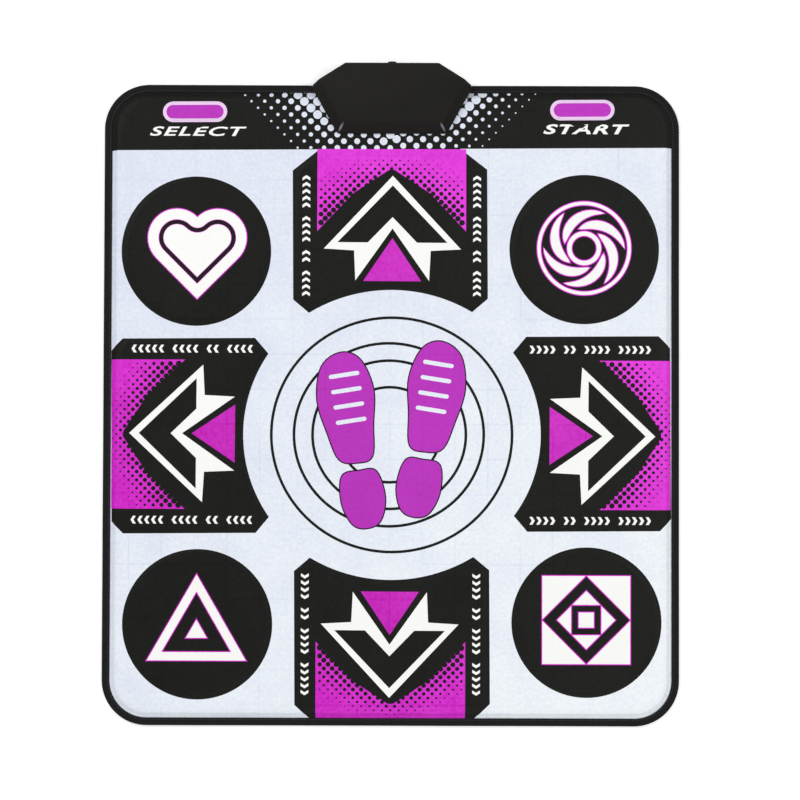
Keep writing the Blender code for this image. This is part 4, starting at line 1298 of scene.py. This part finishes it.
def hem_path():
    """Points round the mat's edge from one side of the box to the other, with the way out at each."""
    loop = np.array(mat_loop(0, TAPE_SPACING))
    on_rear = loop[:, 1] > mat_half[1] - 0.1 * MM
    near_case = on_rear & (np.abs(loop[:, 0]) < case_half + TAPE_END_ROOM)
    start = np.flatnonzero(near_case)[-1] + 1
    loop = np.roll(loop, -start, axis=0)[: len(loop) - near_case.sum()]
    end_x = side_of_case(waist_y, CASE_GAP)
    loop = np.vstack([[-end_x, mat_half[1]], loop, [end_x, mat_half[1]]])
    return loop, edge_depth(loop)[1]


def on_hem(loop, way, depth):
    """The path's points moved in by the depth, with both ends kept against the box."""
    points = loop - way * depth
    end_x = side_of_case(min(mat_half[1] - depth, waist_y), CASE_GAP)
    points[0, 0], points[-1, 0] = -end_x, end_x
    return points


def make_binding(material):
    loop, way = hem_path()
    profile = tape_profile()
    rows = []
    for depth, z in profile:
        points = on_hem(loop, way, depth)
        rows.append(np.c_[points, z + hem_shift(points)])
    count, around = len(loop), len(profile)
    vertices = np.concatenate(rows)
    faces = []
    for i in range(around):
        j = (i + 1) % around
        for k in range(count - 1):
            near, far = i * count + k, j * count + k
            faces.append((near, far, far + 1, near + 1))
    faces.append(tuple(i * count for i in range(around)))
    faces.append(tuple(i * count + count - 1 for i in reversed(range(around))))
    mesh = bpy.data.meshes.new("edge_tape")
    mesh.from_pydata(vertices.tolist(), [], faces)
    along = np.r_[0, np.cumsum(np.linalg.norm(np.diff(loop, axis=0), axis=1))]
    steps = np.linalg.norm(np.diff(np.array([*profile, profile[0]]), axis=0), axis=1)
    across = np.r_[0, np.cumsum(steps)]
    uv = mesh.uv_layers.new(name="tape")
    index = np.zeros(len(mesh.loops), int)
    mesh.loops.foreach_get("vertex_index", index)
    place = np.c_[along[index % count], across[index // count]]
    uv.data.foreach_set("uv", place.ravel())
    bm = bmesh.new()
    bm.from_mesh(mesh)
    bmesh.ops.recalc_face_normals(bm, faces=bm.faces)
    bm.to_mesh(mesh)
    bm.free()
    return shade(place_object("edge_tape", mesh, [material]), 50), along[-1], across[-1]


def woven_tape():
    """Polyester binding tape: ribs across it and a fine edge cord give it a dull, striped look."""
    look = {"Specular IOR Level": 0.15, "Sheen Weight": 0.08}
    material, tree, shader, _ = start_material("polyester binding tape, black", look)
    place = add(tree, "ShaderNodeUVMap", uv_map="tape").outputs["UV"]
    threads = weave(tree, place, RIB_PITCH, CORD_PITCH)
    fluff = noise(tree, place, 1 / (18 * MM), Detail=5.0)
    level = add(tree, "ShaderNodeMath", threads, fluff, operation="MULTIPLY")
    connect(tree, two_tones(tree, level, "#131314", "#2c2c2f"), shader.inputs["Base Color"])
    connect(tree, spread(tree, fluff, 0.72, 0.9), shader.inputs["Roughness"])
    bumped(tree, shader, threads, 0.22 * MM)
    return material


binding, tape_length, tape_width = make_binding(woven_tape())
print("binding", triangles_in(binding), "triangles,", round(tape_length, 2), "m of tape")

# %% [markdown]
# A lock stitch holds the tape. On both sides it shows as short threads that dip into the tape between
# them. The tree resamples a line along the seam at the stitches' pitch, and lays a stretched ball
# along the line's tangent at each point.

# %% Stitches
STITCH_PITCH = 4.2 * MM
STITCH_LENGTH = 3.3 * MM
STITCH_WIDTH = 0.85 * MM
STITCH_SEAT = 0.12 * MM
PLY_PITCH = 0.9 * MM


def stitch_tree():
    tree, given = new_tree("stitches along a seam", pitch=FLOAT, length=FLOAT, width=FLOAT)
    line = add(tree, "GeometryNodeMeshToCurve", given["Geometry"])
    line = add(tree, "GeometryNodeResampleCurve", {"Curve": line, "Length": given["pitch"]}, mode="LENGTH")
    tangent = add(tree, "GeometryNodeInputTangent")
    turn = add(tree, "FunctionNodeAlignRotationToVector", {"Vector": tangent}, axis="X")
    thread = add(tree, "GeometryNodeMeshUVSphere", {"Segments": 8, "Rings": 5, "Radius": 0.5})
    size = add(tree, "ShaderNodeCombineXYZ", given["length"], given["width"], given["width"])
    copies = {"Points": line, "Instance": thread, "Rotation": turn, "Scale": size}
    end_tree(tree, add(tree, "GeometryNodeInstanceOnPoints", copies), given)
    return tree


def thread_material():
    """Bonded nylon thread: a twist of two plies, a little lighter than the tape and softly shiny."""
    look = {"Roughness": 0.5, "Specular IOR Level": 0.3}
    material, tree, shader, coords = start_material("bonded nylon thread, dark grey", look)
    twist = {"Vector": coords, "Scale": WAVE_PERIOD / PLY_PITCH}
    plies = add(tree, "ShaderNodeTexWave", twist, bands_direction="DIAGONAL")
    connect(tree, two_tones(tree, plies, "#2c2c30", "#4a4a50"), shader.inputs["Base Color"])
    bumped(tree, shader, plies, 0.08 * MM)
    return material


def make_stitches(material):
    loop, way = hem_path()
    seam = on_hem(loop, way, STITCH_DEPTH)
    lift = hem_shift(seam)
    count = len(seam)
    upper = np.c_[seam, TAPE_TOP - STITCH_GROOVE + STITCH_SEAT + lift]
    lower = np.c_[seam, STITCH_GROOVE + STITCH_SEAT + lift]
    edges = [(i, i + 1) for i in range(2 * count - 1) if i != count - 1]
    source = points_mesh("seam", np.vstack([upper, lower]), edges)
    sizes = {"pitch": STITCH_PITCH, "length": STITCH_LENGTH, "width": STITCH_WIDTH}
    return run_tree(stitch_tree(), "stitches", source, **sizes, material=material)


stitches = make_stitches(thread_material())
shade(stitches, 60)
print("stitches", triangles_in(stitches), "triangles")

# %% [markdown]
# Underneath, the mat has a plain skin of coated fabric with small soft dots that grip the floor. The
# skin is flat in the middle and rises at its edge to pass between the lips of the binding. The dots
# are low cones in a staggered lattice, one on each point that the tree is given.

# %% Underside with grip dots
GRIP_LEVEL = 0.4 * MM
UNDERSIDE_TOP = 0.9 * MM
UNDERSIDE_GRID = 20 * MM
UNDERSIDE_SEAMS = (SLOPE_FOOT, 14.6 * MM, 16.6 * MM)
LIFTED_SKIN = (1.2 * MM, 2.1 * MM)
LIFT_END = UNDERSIDE_SEAMS[-1]
NOTCH_NEAR = 3 * MM
NOTCH_BEYOND = 5 * MM
GRIP_PITCH = 14 * MM
GRIP_RADIUS = 2.6 * MM
GRIP_TIP = 0.7
GRIP_SUNK = 0.02 * MM
GRIP_MARGIN = 22 * MM


def grip_tree():
    tree, given = new_tree("grip dots", radius=FLOAT, height=FLOAT)
    tip = add(tree, "ShaderNodeMath", given["radius"], GRIP_TIP, operation="MULTIPLY")
    sizes = {"Vertices": 8, "Side Segments": 1, "Radius Bottom": tip, "Radius Top": given["radius"]}
    dot = add(tree, "GeometryNodeMeshCone", {**sizes, "Depth": given["height"]}, fill_type="NGON")
    copies = {"Points": given["Geometry"], "Instance": dot.outputs["Mesh"]}
    end_tree(tree, add(tree, "GeometryNodeInstanceOnPoints", copies), given)
    return tree


def coated_underside():
    """Fabric with a foamed non-slip coat: matt, dark and finely pebbled."""
    look = {"Specular IOR Level": 0.2}
    material, tree, shader, coords = start_material("non-slip foamed pvc, charcoal", look)
    cells = {"Vector": coords, "Scale": 1 / (1.8 * MM)}
    pebbles = add(tree, "ShaderNodeTexVoronoi", cells, feature="SMOOTH_F1").outputs["Distance"]
    cloud = noise(tree, coords, 12.0, Detail=5.0)
    level = add(tree, "ShaderNodeMath", pebbles, cloud, operation="MULTIPLY")
    connect(tree, two_tones(tree, level, "#2a2a2e", "#4b4b51"), shader.inputs["Base Color"])
    connect(tree, spread(tree, cloud, 0.75, 0.92), shader.inputs["Roughness"])
    bumped(tree, shader, pebbles, 0.25 * MM)
    return material


def grip_rubber():
    """Soft printed silicone dots: darker than the coat and slightly glossy."""
    material, tree, shader, coords = start_material("silicone grip dots, black", {"Roughness": 0.42})
    dust = noise(tree, coords, 1 / (9 * MM), Detail=4.0)
    connect(tree, two_tones(tree, dust, "#141416", "#303034"), shader.inputs["Base Color"])
    bumped(tree, shader, dust, 0.15 * MM)
    return material


def make_underside():
    hole = inset(case_plan, -CASE_GAP)
    near, beyond = mat_half[1] - NOTCH_NEAR, mat_half[1] + NOTCH_BEYOND
    notch = [(x, max(y, beyond) if y > near else y) for x, y in hole]
    region = mat_loop(SKIN_INSET)
    loops = [region, notch, *(mat_loop(depth) for depth in UNDERSIDE_SEAMS)]
    between = grid_between(loops, -mat_half, mat_half, UNDERSIDE_GRID)
    points, triangles, middles = triangulated(loops, between)
    triangles = triangles[inside(region, middles) & ~inside(hole, middles)]
    used, places = np.unique(triangles, return_inverse=True)
    points, triangles = points[used], places.reshape(-1, 3)
    depth, _ = edge_depth(points)
    rise = smooth_step((LIFT_END - depth) / (LIFT_END - SLOPE_FOOT))
    lift = hem_shift(points) * rise
    low = GRIP_LEVEL + (LIFTED_SKIN[0] - GRIP_LEVEL) * rise + lift
    top = UNDERSIDE_TOP + (LIFTED_SKIN[1] - UNDERSIDE_TOP) * rise + lift
    plain = np.full(len(triangles), "back", dtype=object)
    skin = sheet_object("underside", points, triangles, plain, top, low)
    skin.data.materials.clear()
    skin.data.materials.append(coated_underside())
    skin.data.polygons.foreach_set("material_index", [0] * len(skin.data.polygons))
    return skin


def make_grip_dots():
    low, high = -mat_half + GRIP_MARGIN, mat_half - GRIP_MARGIN
    points = grid_between([], low, high, GRIP_PITCH)
    keep = (edge_depth(points)[0] > GRIP_MARGIN) & (depth_in(case_plan, points) < -2 * GRIP_RADIUS)
    source = points_mesh("grip_points", np.c_[points[keep], np.zeros(keep.sum())])
    sizes = {"radius": GRIP_RADIUS, "height": GRIP_LEVEL + GRIP_SUNK}
    return run_tree(grip_tree(), "grip_dots", source, **sizes, material=grip_rubber())


underside = make_underside()
grip_dots = make_grip_dots()
print("underside", triangles_in(underside), "triangles, dots", triangles_in(grip_dots))

# %% [markdown]
# The box is injection moulded ABS. A moulded edge is never quite sharp, and the small round along each
# edge is what catches the light, so each moulded part is a copy of its construction solid with its
# edges bevelled. The solid is loose triangles: its copy is merged first, and flat triangles are joined
# into whole faces, so that the bevel sees only the real edges. A pale glint is painted on the box's two
# front corners: a painted highlight in the colour, where the sloping edges would catch the light.

# %% Moulded parts
EDGE_ROUND = {
    "upper_case": 1.4,
    "lower_case": 0.5,
    "tail_clamp_bar": 0.35,
    "controller_chip": 0.12,
    "cable_socket": 0.2,
}
FLAT_ANGLE = math.radians(0.5)
EDGE_ANGLE = math.radians(33)
MERGE = 0.002 * MM
# Where the pale painted glint, a painted highlight, sits on each front corner of the box.
GLINT_MIDDLE = (72.3 * MM, 394 * MM, 20 * MM)
GLINT_TURN = math.radians(121.6)
GLINT_SIZE = (8.5 * MM, 2.1 * MM, 16 * MM)


def painted_corner_glints(tree, coords, fleck):
    """1 on a painted glint: a long spot on both front corners of the box, broken up by flecks, 0 elsewhere.
    """
    parts = add(tree, "ShaderNodeSeparateXYZ", coords).outputs
    across = add(tree, "ShaderNodeMath", parts["X"], operation="ABSOLUTE")
    folded = add(tree, "ShaderNodeCombineXYZ", across, parts["Y"], parts["Z"])
    place = {"Vector": folded, "Location": GLINT_MIDDLE, "Rotation": (0, 0, GLINT_TURN), "Scale": GLINT_SIZE}
    place = add(tree, "ShaderNodeMapping", place, vector_type="TEXTURE")
    away = add(tree, "ShaderNodeVectorMath", place, operation="LENGTH").outputs["Value"]
    spot = add(tree, "ShaderNodeMapRange", away, 0.4, 1.0, 1.0, 0.0)
    fleck = add(tree, "ShaderNodeMapRange", fleck, 0.35, 0.55, 0.45, 1.0)
    return add(tree, "ShaderNodeMath", spot, fleck, operation="MULTIPLY")


def moulded_plastic(name, dark, light, gloss, roughness, glint_colour=None):
    """Moulded ABS with a fine spark-eroded texture: even, matt, and paler on its edges, as wear and painted
    highlight.
    """
    material, tree, shader, coords = start_material(name, {"Specular IOR Level": gloss, "IOR": 1.54})
    pits = noise(tree, coords, 1 / (1.4 * MM), Detail=3.0, Roughness=0.6)
    hands = noise(tree, coords, 1 / (40 * MM), Detail=5.0)
    # Pointiness makes the convex edges paler: partly edge wear and partly a painted highlight.
    worn_and_highlit = add(tree, "ShaderNodeNewGeometry").outputs["Pointiness"]
    worn_and_highlit = add(tree, "ShaderNodeMapRange", worn_and_highlit, 0.51, 0.56, 0.0, 0.55)
    level = add(tree, "ShaderNodeMath", hands, worn_and_highlit, operation="ADD")
    colour = two_tones(tree, level, dark, light)
    # Paints the pale glint of the front corners over the colour: a painted highlight.
    if glint_colour:
        glint_mix = {0: painted_corner_glints(tree, coords, pits), 6: colour, 7: hex_colour(glint_colour)}
        colour = add(tree, "ShaderNodeMix", glint_mix, data_type="RGBA")
    connect(tree, colour, shader.inputs["Base Color"])
    dull = spread(tree, hands, roughness - 0.06, roughness + 0.08)
    connect(tree, dull, shader.inputs["Roughness"])
    bumped(tree, shader, pits, 0.1 * MM)
    return material


def soften(node, material, segments=3):
    """A copy of a construction solid with its outer edges rounded."""
    source = bpy.data.objects[node]
    bm = bmesh.new()
    bm.from_mesh(source.data)
    bmesh.ops.remove_doubles(bm, verts=bm.verts, dist=MERGE)
    bmesh.ops.dissolve_limit(bm, angle_limit=FLAT_ANGLE, verts=bm.verts, edges=bm.edges)
    mesh = bpy.data.meshes.new(f"moulded_{node}")
    bm.to_mesh(mesh)
    bm.free()
    maker = place_object("maker", mesh)
    bevel = maker.modifiers.new("round", "BEVEL")
    bevel.width = EDGE_ROUND[node] * MM
    bevel.segments = segments
    bevel.limit_method = "ANGLE"
    bevel.angle_limit = EDGE_ANGLE
    bevel.use_clamp_overlap = True
    graph = bpy.context.evaluated_depsgraph_get()
    rounded = bpy.data.meshes.new_from_object(maker.evaluated_get(graph), depsgraph=graph)
    bpy.data.objects.remove(maker)
    rounded.materials.clear()
    piece = shade(place_object(f"moulded_{node}", rounded, [material]), 40)
    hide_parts(node)
    return piece


# Its last colour is the pale painted glint on the box's front corners.
abs_black = moulded_plastic("textured abs, black", "#141311", "#1e1d1a", 0.13, 0.66, "#8b8898")
epoxy = moulded_plastic("epoxy moulding compound, black", "#121213", "#262628", 0.3, 0.6)
nylon = moulded_plastic("nylon, natural white", "#cfc9ba", "#efe9da", 0.45, 0.4)
moulded = {
    "upper_case": abs_black,
    "lower_case": abs_black,
    "tail_clamp_bar": abs_black,
    "controller_chip": epoxy,
    "cable_socket": nylon,
}
moulded = {node: soften(node, material) for node, material in moulded.items()}
print("moulded parts", {node: triangles_in(piece) for node, piece in moulded.items()})

# %% [markdown]
# Turned parts share one helper that spins a profile of radius and height round an axis: a screw, with
# the ridges of its thread, and the rubber grommet in the rear wall.

# %% Turned shapes
POLE = 1e-7


def spin_profile(profile, steps):
    """A closed solid of revolution about Z; a radius of zero closes it at a pole."""
    bm = bmesh.new()
    rows = []
    for radius, z in profile:
        if radius < POLE:
            rows.append([bm.verts.new((0, 0, z))] * steps)
        else:
            angles = [2 * math.pi * k / steps for k in range(steps)]
            rows.append([bm.verts.new((radius * math.cos(a), radius * math.sin(a), z)) for a in angles])
    closed = profile[0][0] > POLE and profile[-1][0] > POLE
    for a, b in zip(rows, rows[1:] + ([rows[0]] if closed else [])):
        for k in range(steps):
            j = (k + 1) % steps
            corners = list(dict.fromkeys((a[k], a[j], b[j], b[k])))
            if len(corners) > 2:
                bm.faces.new(corners)
    bmesh.ops.recalc_face_normals(bm, faces=bm.faces)
    return bm


def to_mesh(bm, name):
    mesh = bpy.data.meshes.new(name)
    bm.to_mesh(mesh)
    bm.free()
    return mesh


def plated_steel():
    """Zinc-plated steel: a cool grey metal with faint cloudy plating and fine tumbling scratches."""
    material, tree, shader, coords = start_material("zinc plated steel", {"Metallic": 1.0})
    cloud = noise(tree, coords, 1 / (2.5 * MM), Detail=4.0)
    connect(tree, two_tones(tree, cloud, "#8f9296", "#c3c6c9"), shader.inputs["Base Color"])
    connect(tree, spread(tree, cloud, 0.25, 0.42), shader.inputs["Roughness"])
    bumped(tree, shader, cloud, 0.03 * MM)
    return material


def soft_rubber(name, dark, light):
    """Moulded rubber: matt, with a light bloom in the hollows of its fine texture."""
    material, tree, shader, coords = start_material(name, {"Roughness": 0.72, "Specular IOR Level": 0.3})
    bloom = noise(tree, coords, 1 / (2 * MM), Detail=5.0)
    connect(tree, two_tones(tree, bloom, dark, light), shader.inputs["Base Color"])
    bumped(tree, shader, bloom, 0.06 * MM)
    return material


steel = plated_steel()
rubber = soft_rubber("moulded rubber, black", "#161616", "#2b2b2c")
print("materials", steel.name, "and", rubber.name)

# %% [markdown]
# The screws are pan-head screws with a cross recess. Each is modelled once, with the recess cut by a
# Boolean, and a tree puts it at each hole. The holes are read from the construction screws' boxes.

# %% Screws
THREAD_PITCH = 1.0 * MM
THREAD_DEPTH = 0.18 * MM
THREAD_START = 1.5 * MM
SCREW_STEPS = 24
HEAD_HEIGHT = 1.6 * MM
CASE_SHANK = 1.35 * MM
CLAMP_SHANK = 1.3 * MM


def screw_mesh(head, head_height, shank, length):
    """A screw that stands on its head: the head from 0 down, and the shank up to its tip."""
    rim = head_height / 3
    profile = [(0, -head_height), (head * 0.55, -head_height * 0.97), (head - rim, -head_height * 0.8)]
    profile += [(head, -head_height * 0.35), (head, 0), (shank, 0)]
    level = THREAD_START
    while level < length - 2 * shank:
        profile += [(shank - THREAD_DEPTH, level), (shank, level + THREAD_PITCH / 2)]
        level += THREAD_PITCH
    profile += [(shank * 0.8, length - shank), (0, length)]
    return to_mesh(spin_profile(profile, SCREW_STEPS), "screw")


def cut_recess(mesh, head, head_height):
    """Cuts a cross into the top of the head."""
    arm, width = head * 0.58, head * 0.2
    bm = bmesh.new()
    for sx, sy in ((arm, width), (width, arm)):
        size = (2 * sx, 2 * sy, head_height * 1.2)
        found = bmesh.ops.create_cube(bm, size=1)["verts"]
        bmesh.ops.scale(bm, vec=size, verts=found)
        bmesh.ops.translate(bm, vec=(0, 0, -head_height), verts=found)
    cutter = place_object("recess", to_mesh(bm, "recess"))
    maker = place_object("screw_maker", mesh)
    cut = maker.modifiers.new("recess", "BOOLEAN")
    cut.object = cutter
    cut.operation = "DIFFERENCE"
    cut.use_self = True
    graph = bpy.context.evaluated_depsgraph_get()
    result = bpy.data.meshes.new_from_object(maker.evaluated_get(graph), depsgraph=graph)
    for helper in (maker, cutter):
        bpy.data.objects.remove(helper)
    return result


def screw_tree():
    tree, given = new_tree("screws in their holes", screw=OBJECT)
    screw = add(tree, "GeometryNodeObjectInfo", given["screw"]).outputs["Geometry"]
    copies = add(tree, "GeometryNodeInstanceOnPoints", {"Points": given["Geometry"], "Instance": screw})
    end_tree(tree, copies, given)
    return tree


def make_screws(name, nodes, shank, head_height, up):
    """One screw for each construction node, with its tip up or down."""
    boxes = [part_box(node) for node in nodes]
    low, high = boxes[0]
    head = (high.x - low.x) / 2
    length = high.z - low.z - head_height
    mesh = cut_recess(screw_mesh(head, head_height, shank, length), head, head_height)
    if not up:
        for vertex in mesh.vertices:
            vertex.co.y, vertex.co.z = -vertex.co.y, -vertex.co.z
    seat = low.z + head_height if up else high.z - head_height
    places = [((a.x + b.x) / 2, (a.y + b.y) / 2, seat) for a, b in boxes]
    screw = place_object("screw", mesh)
    piece = run_tree(screw_tree(), name, points_mesh("holes", places), screw=screw, material=steel)
    bpy.data.objects.remove(screw)
    shade(piece, 35)
    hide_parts(*nodes)
    return piece


case_nodes = [f"case_screw_{end}_{side}" for end in ("front", "rear") for side in ("left", "right")]
clamp_nodes = ["clamp_screw_left", "clamp_screw_right"]
case_screws = make_screws("case_screws", case_nodes, CASE_SHANK, HEAD_HEIGHT, True)
clamp_screws = make_screws("clamp_screws", clamp_nodes, CLAMP_SHANK, HEAD_HEIGHT, False)
print("screws", triangles_in(case_screws), triangles_in(clamp_screws))

# %% [markdown]
# The rear wall's opening for a cord is lined with a rubber grommet. Its profile grips the wall in a
# groove and has rounded flanges.

# %% Grommet
GROMMET_BORE = 3.5 * MM
GROMMET_NECK = 4.6 * MM
GROMMET_EDGE = 0.55 * MM
GROMMET_FLANGE = 2.0 * MM
BORE_CHAMFER = 0.3 * MM


def rounded_ends(low, high, radius, edge):
    """The outside of a flange with both corners rounded."""
    lower = arc((radius - edge, low + edge), edge, -90, 0, 4)
    return lower + arc((radius - edge, high - edge), edge, 0, 90, 4)


def make_grommet():
    low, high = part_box("cable_grommet")
    flange = (high.x - low.x) / 2
    bore, mouth_radius = GROMMET_BORE, GROMMET_BORE + BORE_CHAMFER
    inner = rounded_ends(low.y, low.y + GROMMET_FLANGE, flange, GROMMET_EDGE)
    outer = rounded_ends(high.y - GROMMET_FLANGE, high.y, flange, GROMMET_EDGE)
    groove = [(GROMMET_NECK, low.y + GROMMET_FLANGE), (GROMMET_NECK, high.y - GROMMET_FLANGE)]
    profile = [(bore, low.y + BORE_CHAMFER), (mouth_radius, low.y), *inner, *groove, *outer]
    profile += [(mouth_radius, high.y), (bore, high.y - BORE_CHAMFER)]
    bm = spin_profile(profile, 40)
    middle = ((low.x + high.x) / 2, (low.z + high.z) / 2)
    for vertex in bm.verts:
        x, y, along = vertex.co
        vertex.co = (middle[0] + x, along, middle[1] + y)
    bmesh.ops.recalc_face_normals(bm, faces=bm.faces)
    piece = shade(place_object("rubber_grommet", to_mesh(bm, "rubber_grommet"), [rubber]), 50)
    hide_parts("cable_grommet")
    return piece


grommet = make_grommet()
print("grommet", triangles_in(grommet))

# %% [markdown]
# The layers inside keep their construction meshes, which already have the right shape, and get the
# finish of what they are: foams, a printed film, carbon contacts, a circuit board and its components.
# They show when the box is opened or the mat is cut.

# %% Materials of the layers inside
FOAM = {"Roughness": 0.95, "Specular IOR Level": 0.2}
FILM = {"Roughness": 0.35, "Metallic": 0.4}
CARBON = {"Roughness": 0.55}
CAN = {"Metallic": 1.0, "Roughness": 0.3}
STRIP = {"Roughness": 0.6}
CELLS = ("ShaderNodeTexVoronoi", "Distance")


def plain_material(name, shader_inputs, dark, light, grain, depth, kind="ShaderNodeTexNoise", output="Fac"):
    """A material whose two tones and relief follow one pattern with grains of this size."""
    material, tree, shader, coords = start_material(name, shader_inputs)
    pattern = add(tree, kind, {"Vector": coords, "Scale": 1 / grain}).outputs[output]
    connect(tree, two_tones(tree, pattern, dark, light), shader.inputs["Base Color"])
    bumped(tree, shader, pattern, depth)
    return material


finishes = {
    "polyethylene foam, white": (FOAM, "#d9dad6", "#f4f4f0", 2.2 * MM, 0.3 * MM, *CELLS),
    "polyester film with silver ink": (FILM, "#8d9094", "#c2c5c8", 6 * MM, 0.02 * MM),
    "carbon ink on polyester": (CARBON, "#1c1c1e", "#38383b", 3 * MM, 0.03 * MM),
    "aluminium can": (CAN, "#b5b7b9", "#dcdddd", 1.5 * MM, 0.02 * MM),
    "silicone strip": (STRIP, "#1a1a1a", "#2f2f30", 2 * MM, 0.05 * MM),
}
layers = {
    "polyethylene foam, white": ["cushion_foam", "spacer_foam"],
    "polyester film with silver ink": ["lower_contact_film"],
    "carbon ink on polyester": [f"{name}_contact" for name in NAMES],
    "aluminium can": ["crystal", "capacitor"],
    "silicone strip": ["pressure_strip"],
}


def board_material():
    """Glass-fibre board: green lacquer over copper tracks, seen as lighter lines in the green."""
    material, tree, shader, coords = start_material("fr4 board, green lacquer", {"Roughness": 0.32})
    tracks = add(tree, "ShaderNodeTexBrick", {"Vector": coords, "Scale": 1 / (12 * MM), "Mortar Size": 0.06})
    lacquer = noise(tree, coords, 1 / (6 * MM), Detail=4.0)
    level = add(tree, "ShaderNodeMath", tracks.outputs["Fac"], lacquer, operation="MULTIPLY")
    connect(tree, two_tones(tree, level, "#0f4a2a", "#3f9a5c"), shader.inputs["Base Color"])
    bumped(tree, shader, tracks.outputs["Fac"], 0.04 * MM)
    return material


def finish_node(node, material):
    """Gives a construction node a better material in its own slots."""
    obj = bpy.data.objects[node]
    if not obj.material_slots:
        obj.data.materials.append(material)
    for slot in obj.material_slots:
        slot.material = material


for name, values in finishes.items():
    material = plain_material(name, *values)
    for node in layers[name]:
        finish_node(node, material)
finish_node("circuit_board", board_material())
print("nodes finished", sum(len(nodes) for nodes in layers.values()) + 1)

# %% [markdown]
# A perforated sponge holds each pair of contacts apart, and gives way when the zone is pressed. Its
# construction node has the right form, so the piece that replaces it is a merged copy of that.


def soft_sponge(name, material):
    bm = bmesh.new()
    bm.from_mesh(bpy.data.objects[f"{name}_sponge"].data)
    bmesh.ops.remove_doubles(bm, verts=bm.verts, dist=MERGE)
    bmesh.ops.recalc_face_normals(bm, faces=bm.faces)
    return shade(place_object(f"soft_{name}_sponge", to_mesh(bm, f"soft_{name}_sponge"), [material]), 35)


cells = (1.2 * MM, 0.4 * MM, *CELLS)
sponge_foam = plain_material("open-cell polyurethane sponge", FOAM, "#b9a36a", "#ecdca8", *cells)
sponges = {name: soft_sponge(name, sponge_foam) for name in NAMES}
print("sponges", sum(triangles_in(piece) for piece in sponges.values()), "triangles")

# %% [markdown]
# The last step tells the frame what each new piece rides on, and hides the construction nodes that it
# replaces.

# %% What each piece rides on
def settle(piece, body, slot, *nodes):
    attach(piece, body)
    if nodes:
        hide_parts(*nodes)


settle(cover, "mat", "printed_cover", "top_cover")
settle(binding, "mat", "binding", "edge_binding")
settle(stitches, "mat", "binding")
settle(underside, "mat", "underside", "bottom_cover")
settle(grip_dots, "mat", "underside")
settle(grommet, "mat", "rubber")
settle(case_screws, "mat", "screw")
settle(clamp_screws, "mat", "screw")
for word in words.values():
    settle(word, "mat", "printed_cover")
for node, piece in moulded.items():
    settle(piece, "mat", {"controller_chip": "chip", "cable_socket": "socket"}.get(node, "case"))
for name, (collar, face) in zones.items():
    slot = "disc_print" if "_" in name else "arrow_print"
    settle(collar, "mat", slot, "top_cover")
    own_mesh(collar)
    settle(face, f"{name}_zone", slot, f"{name}_pad")
for name, piece in marks.items():
    settle(piece, f"{name}_zone", "arrow_print")
for name, piece in sponges.items():
    settle(piece, "mat", "sponge", f"{name}_sponge")
    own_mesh(piece)
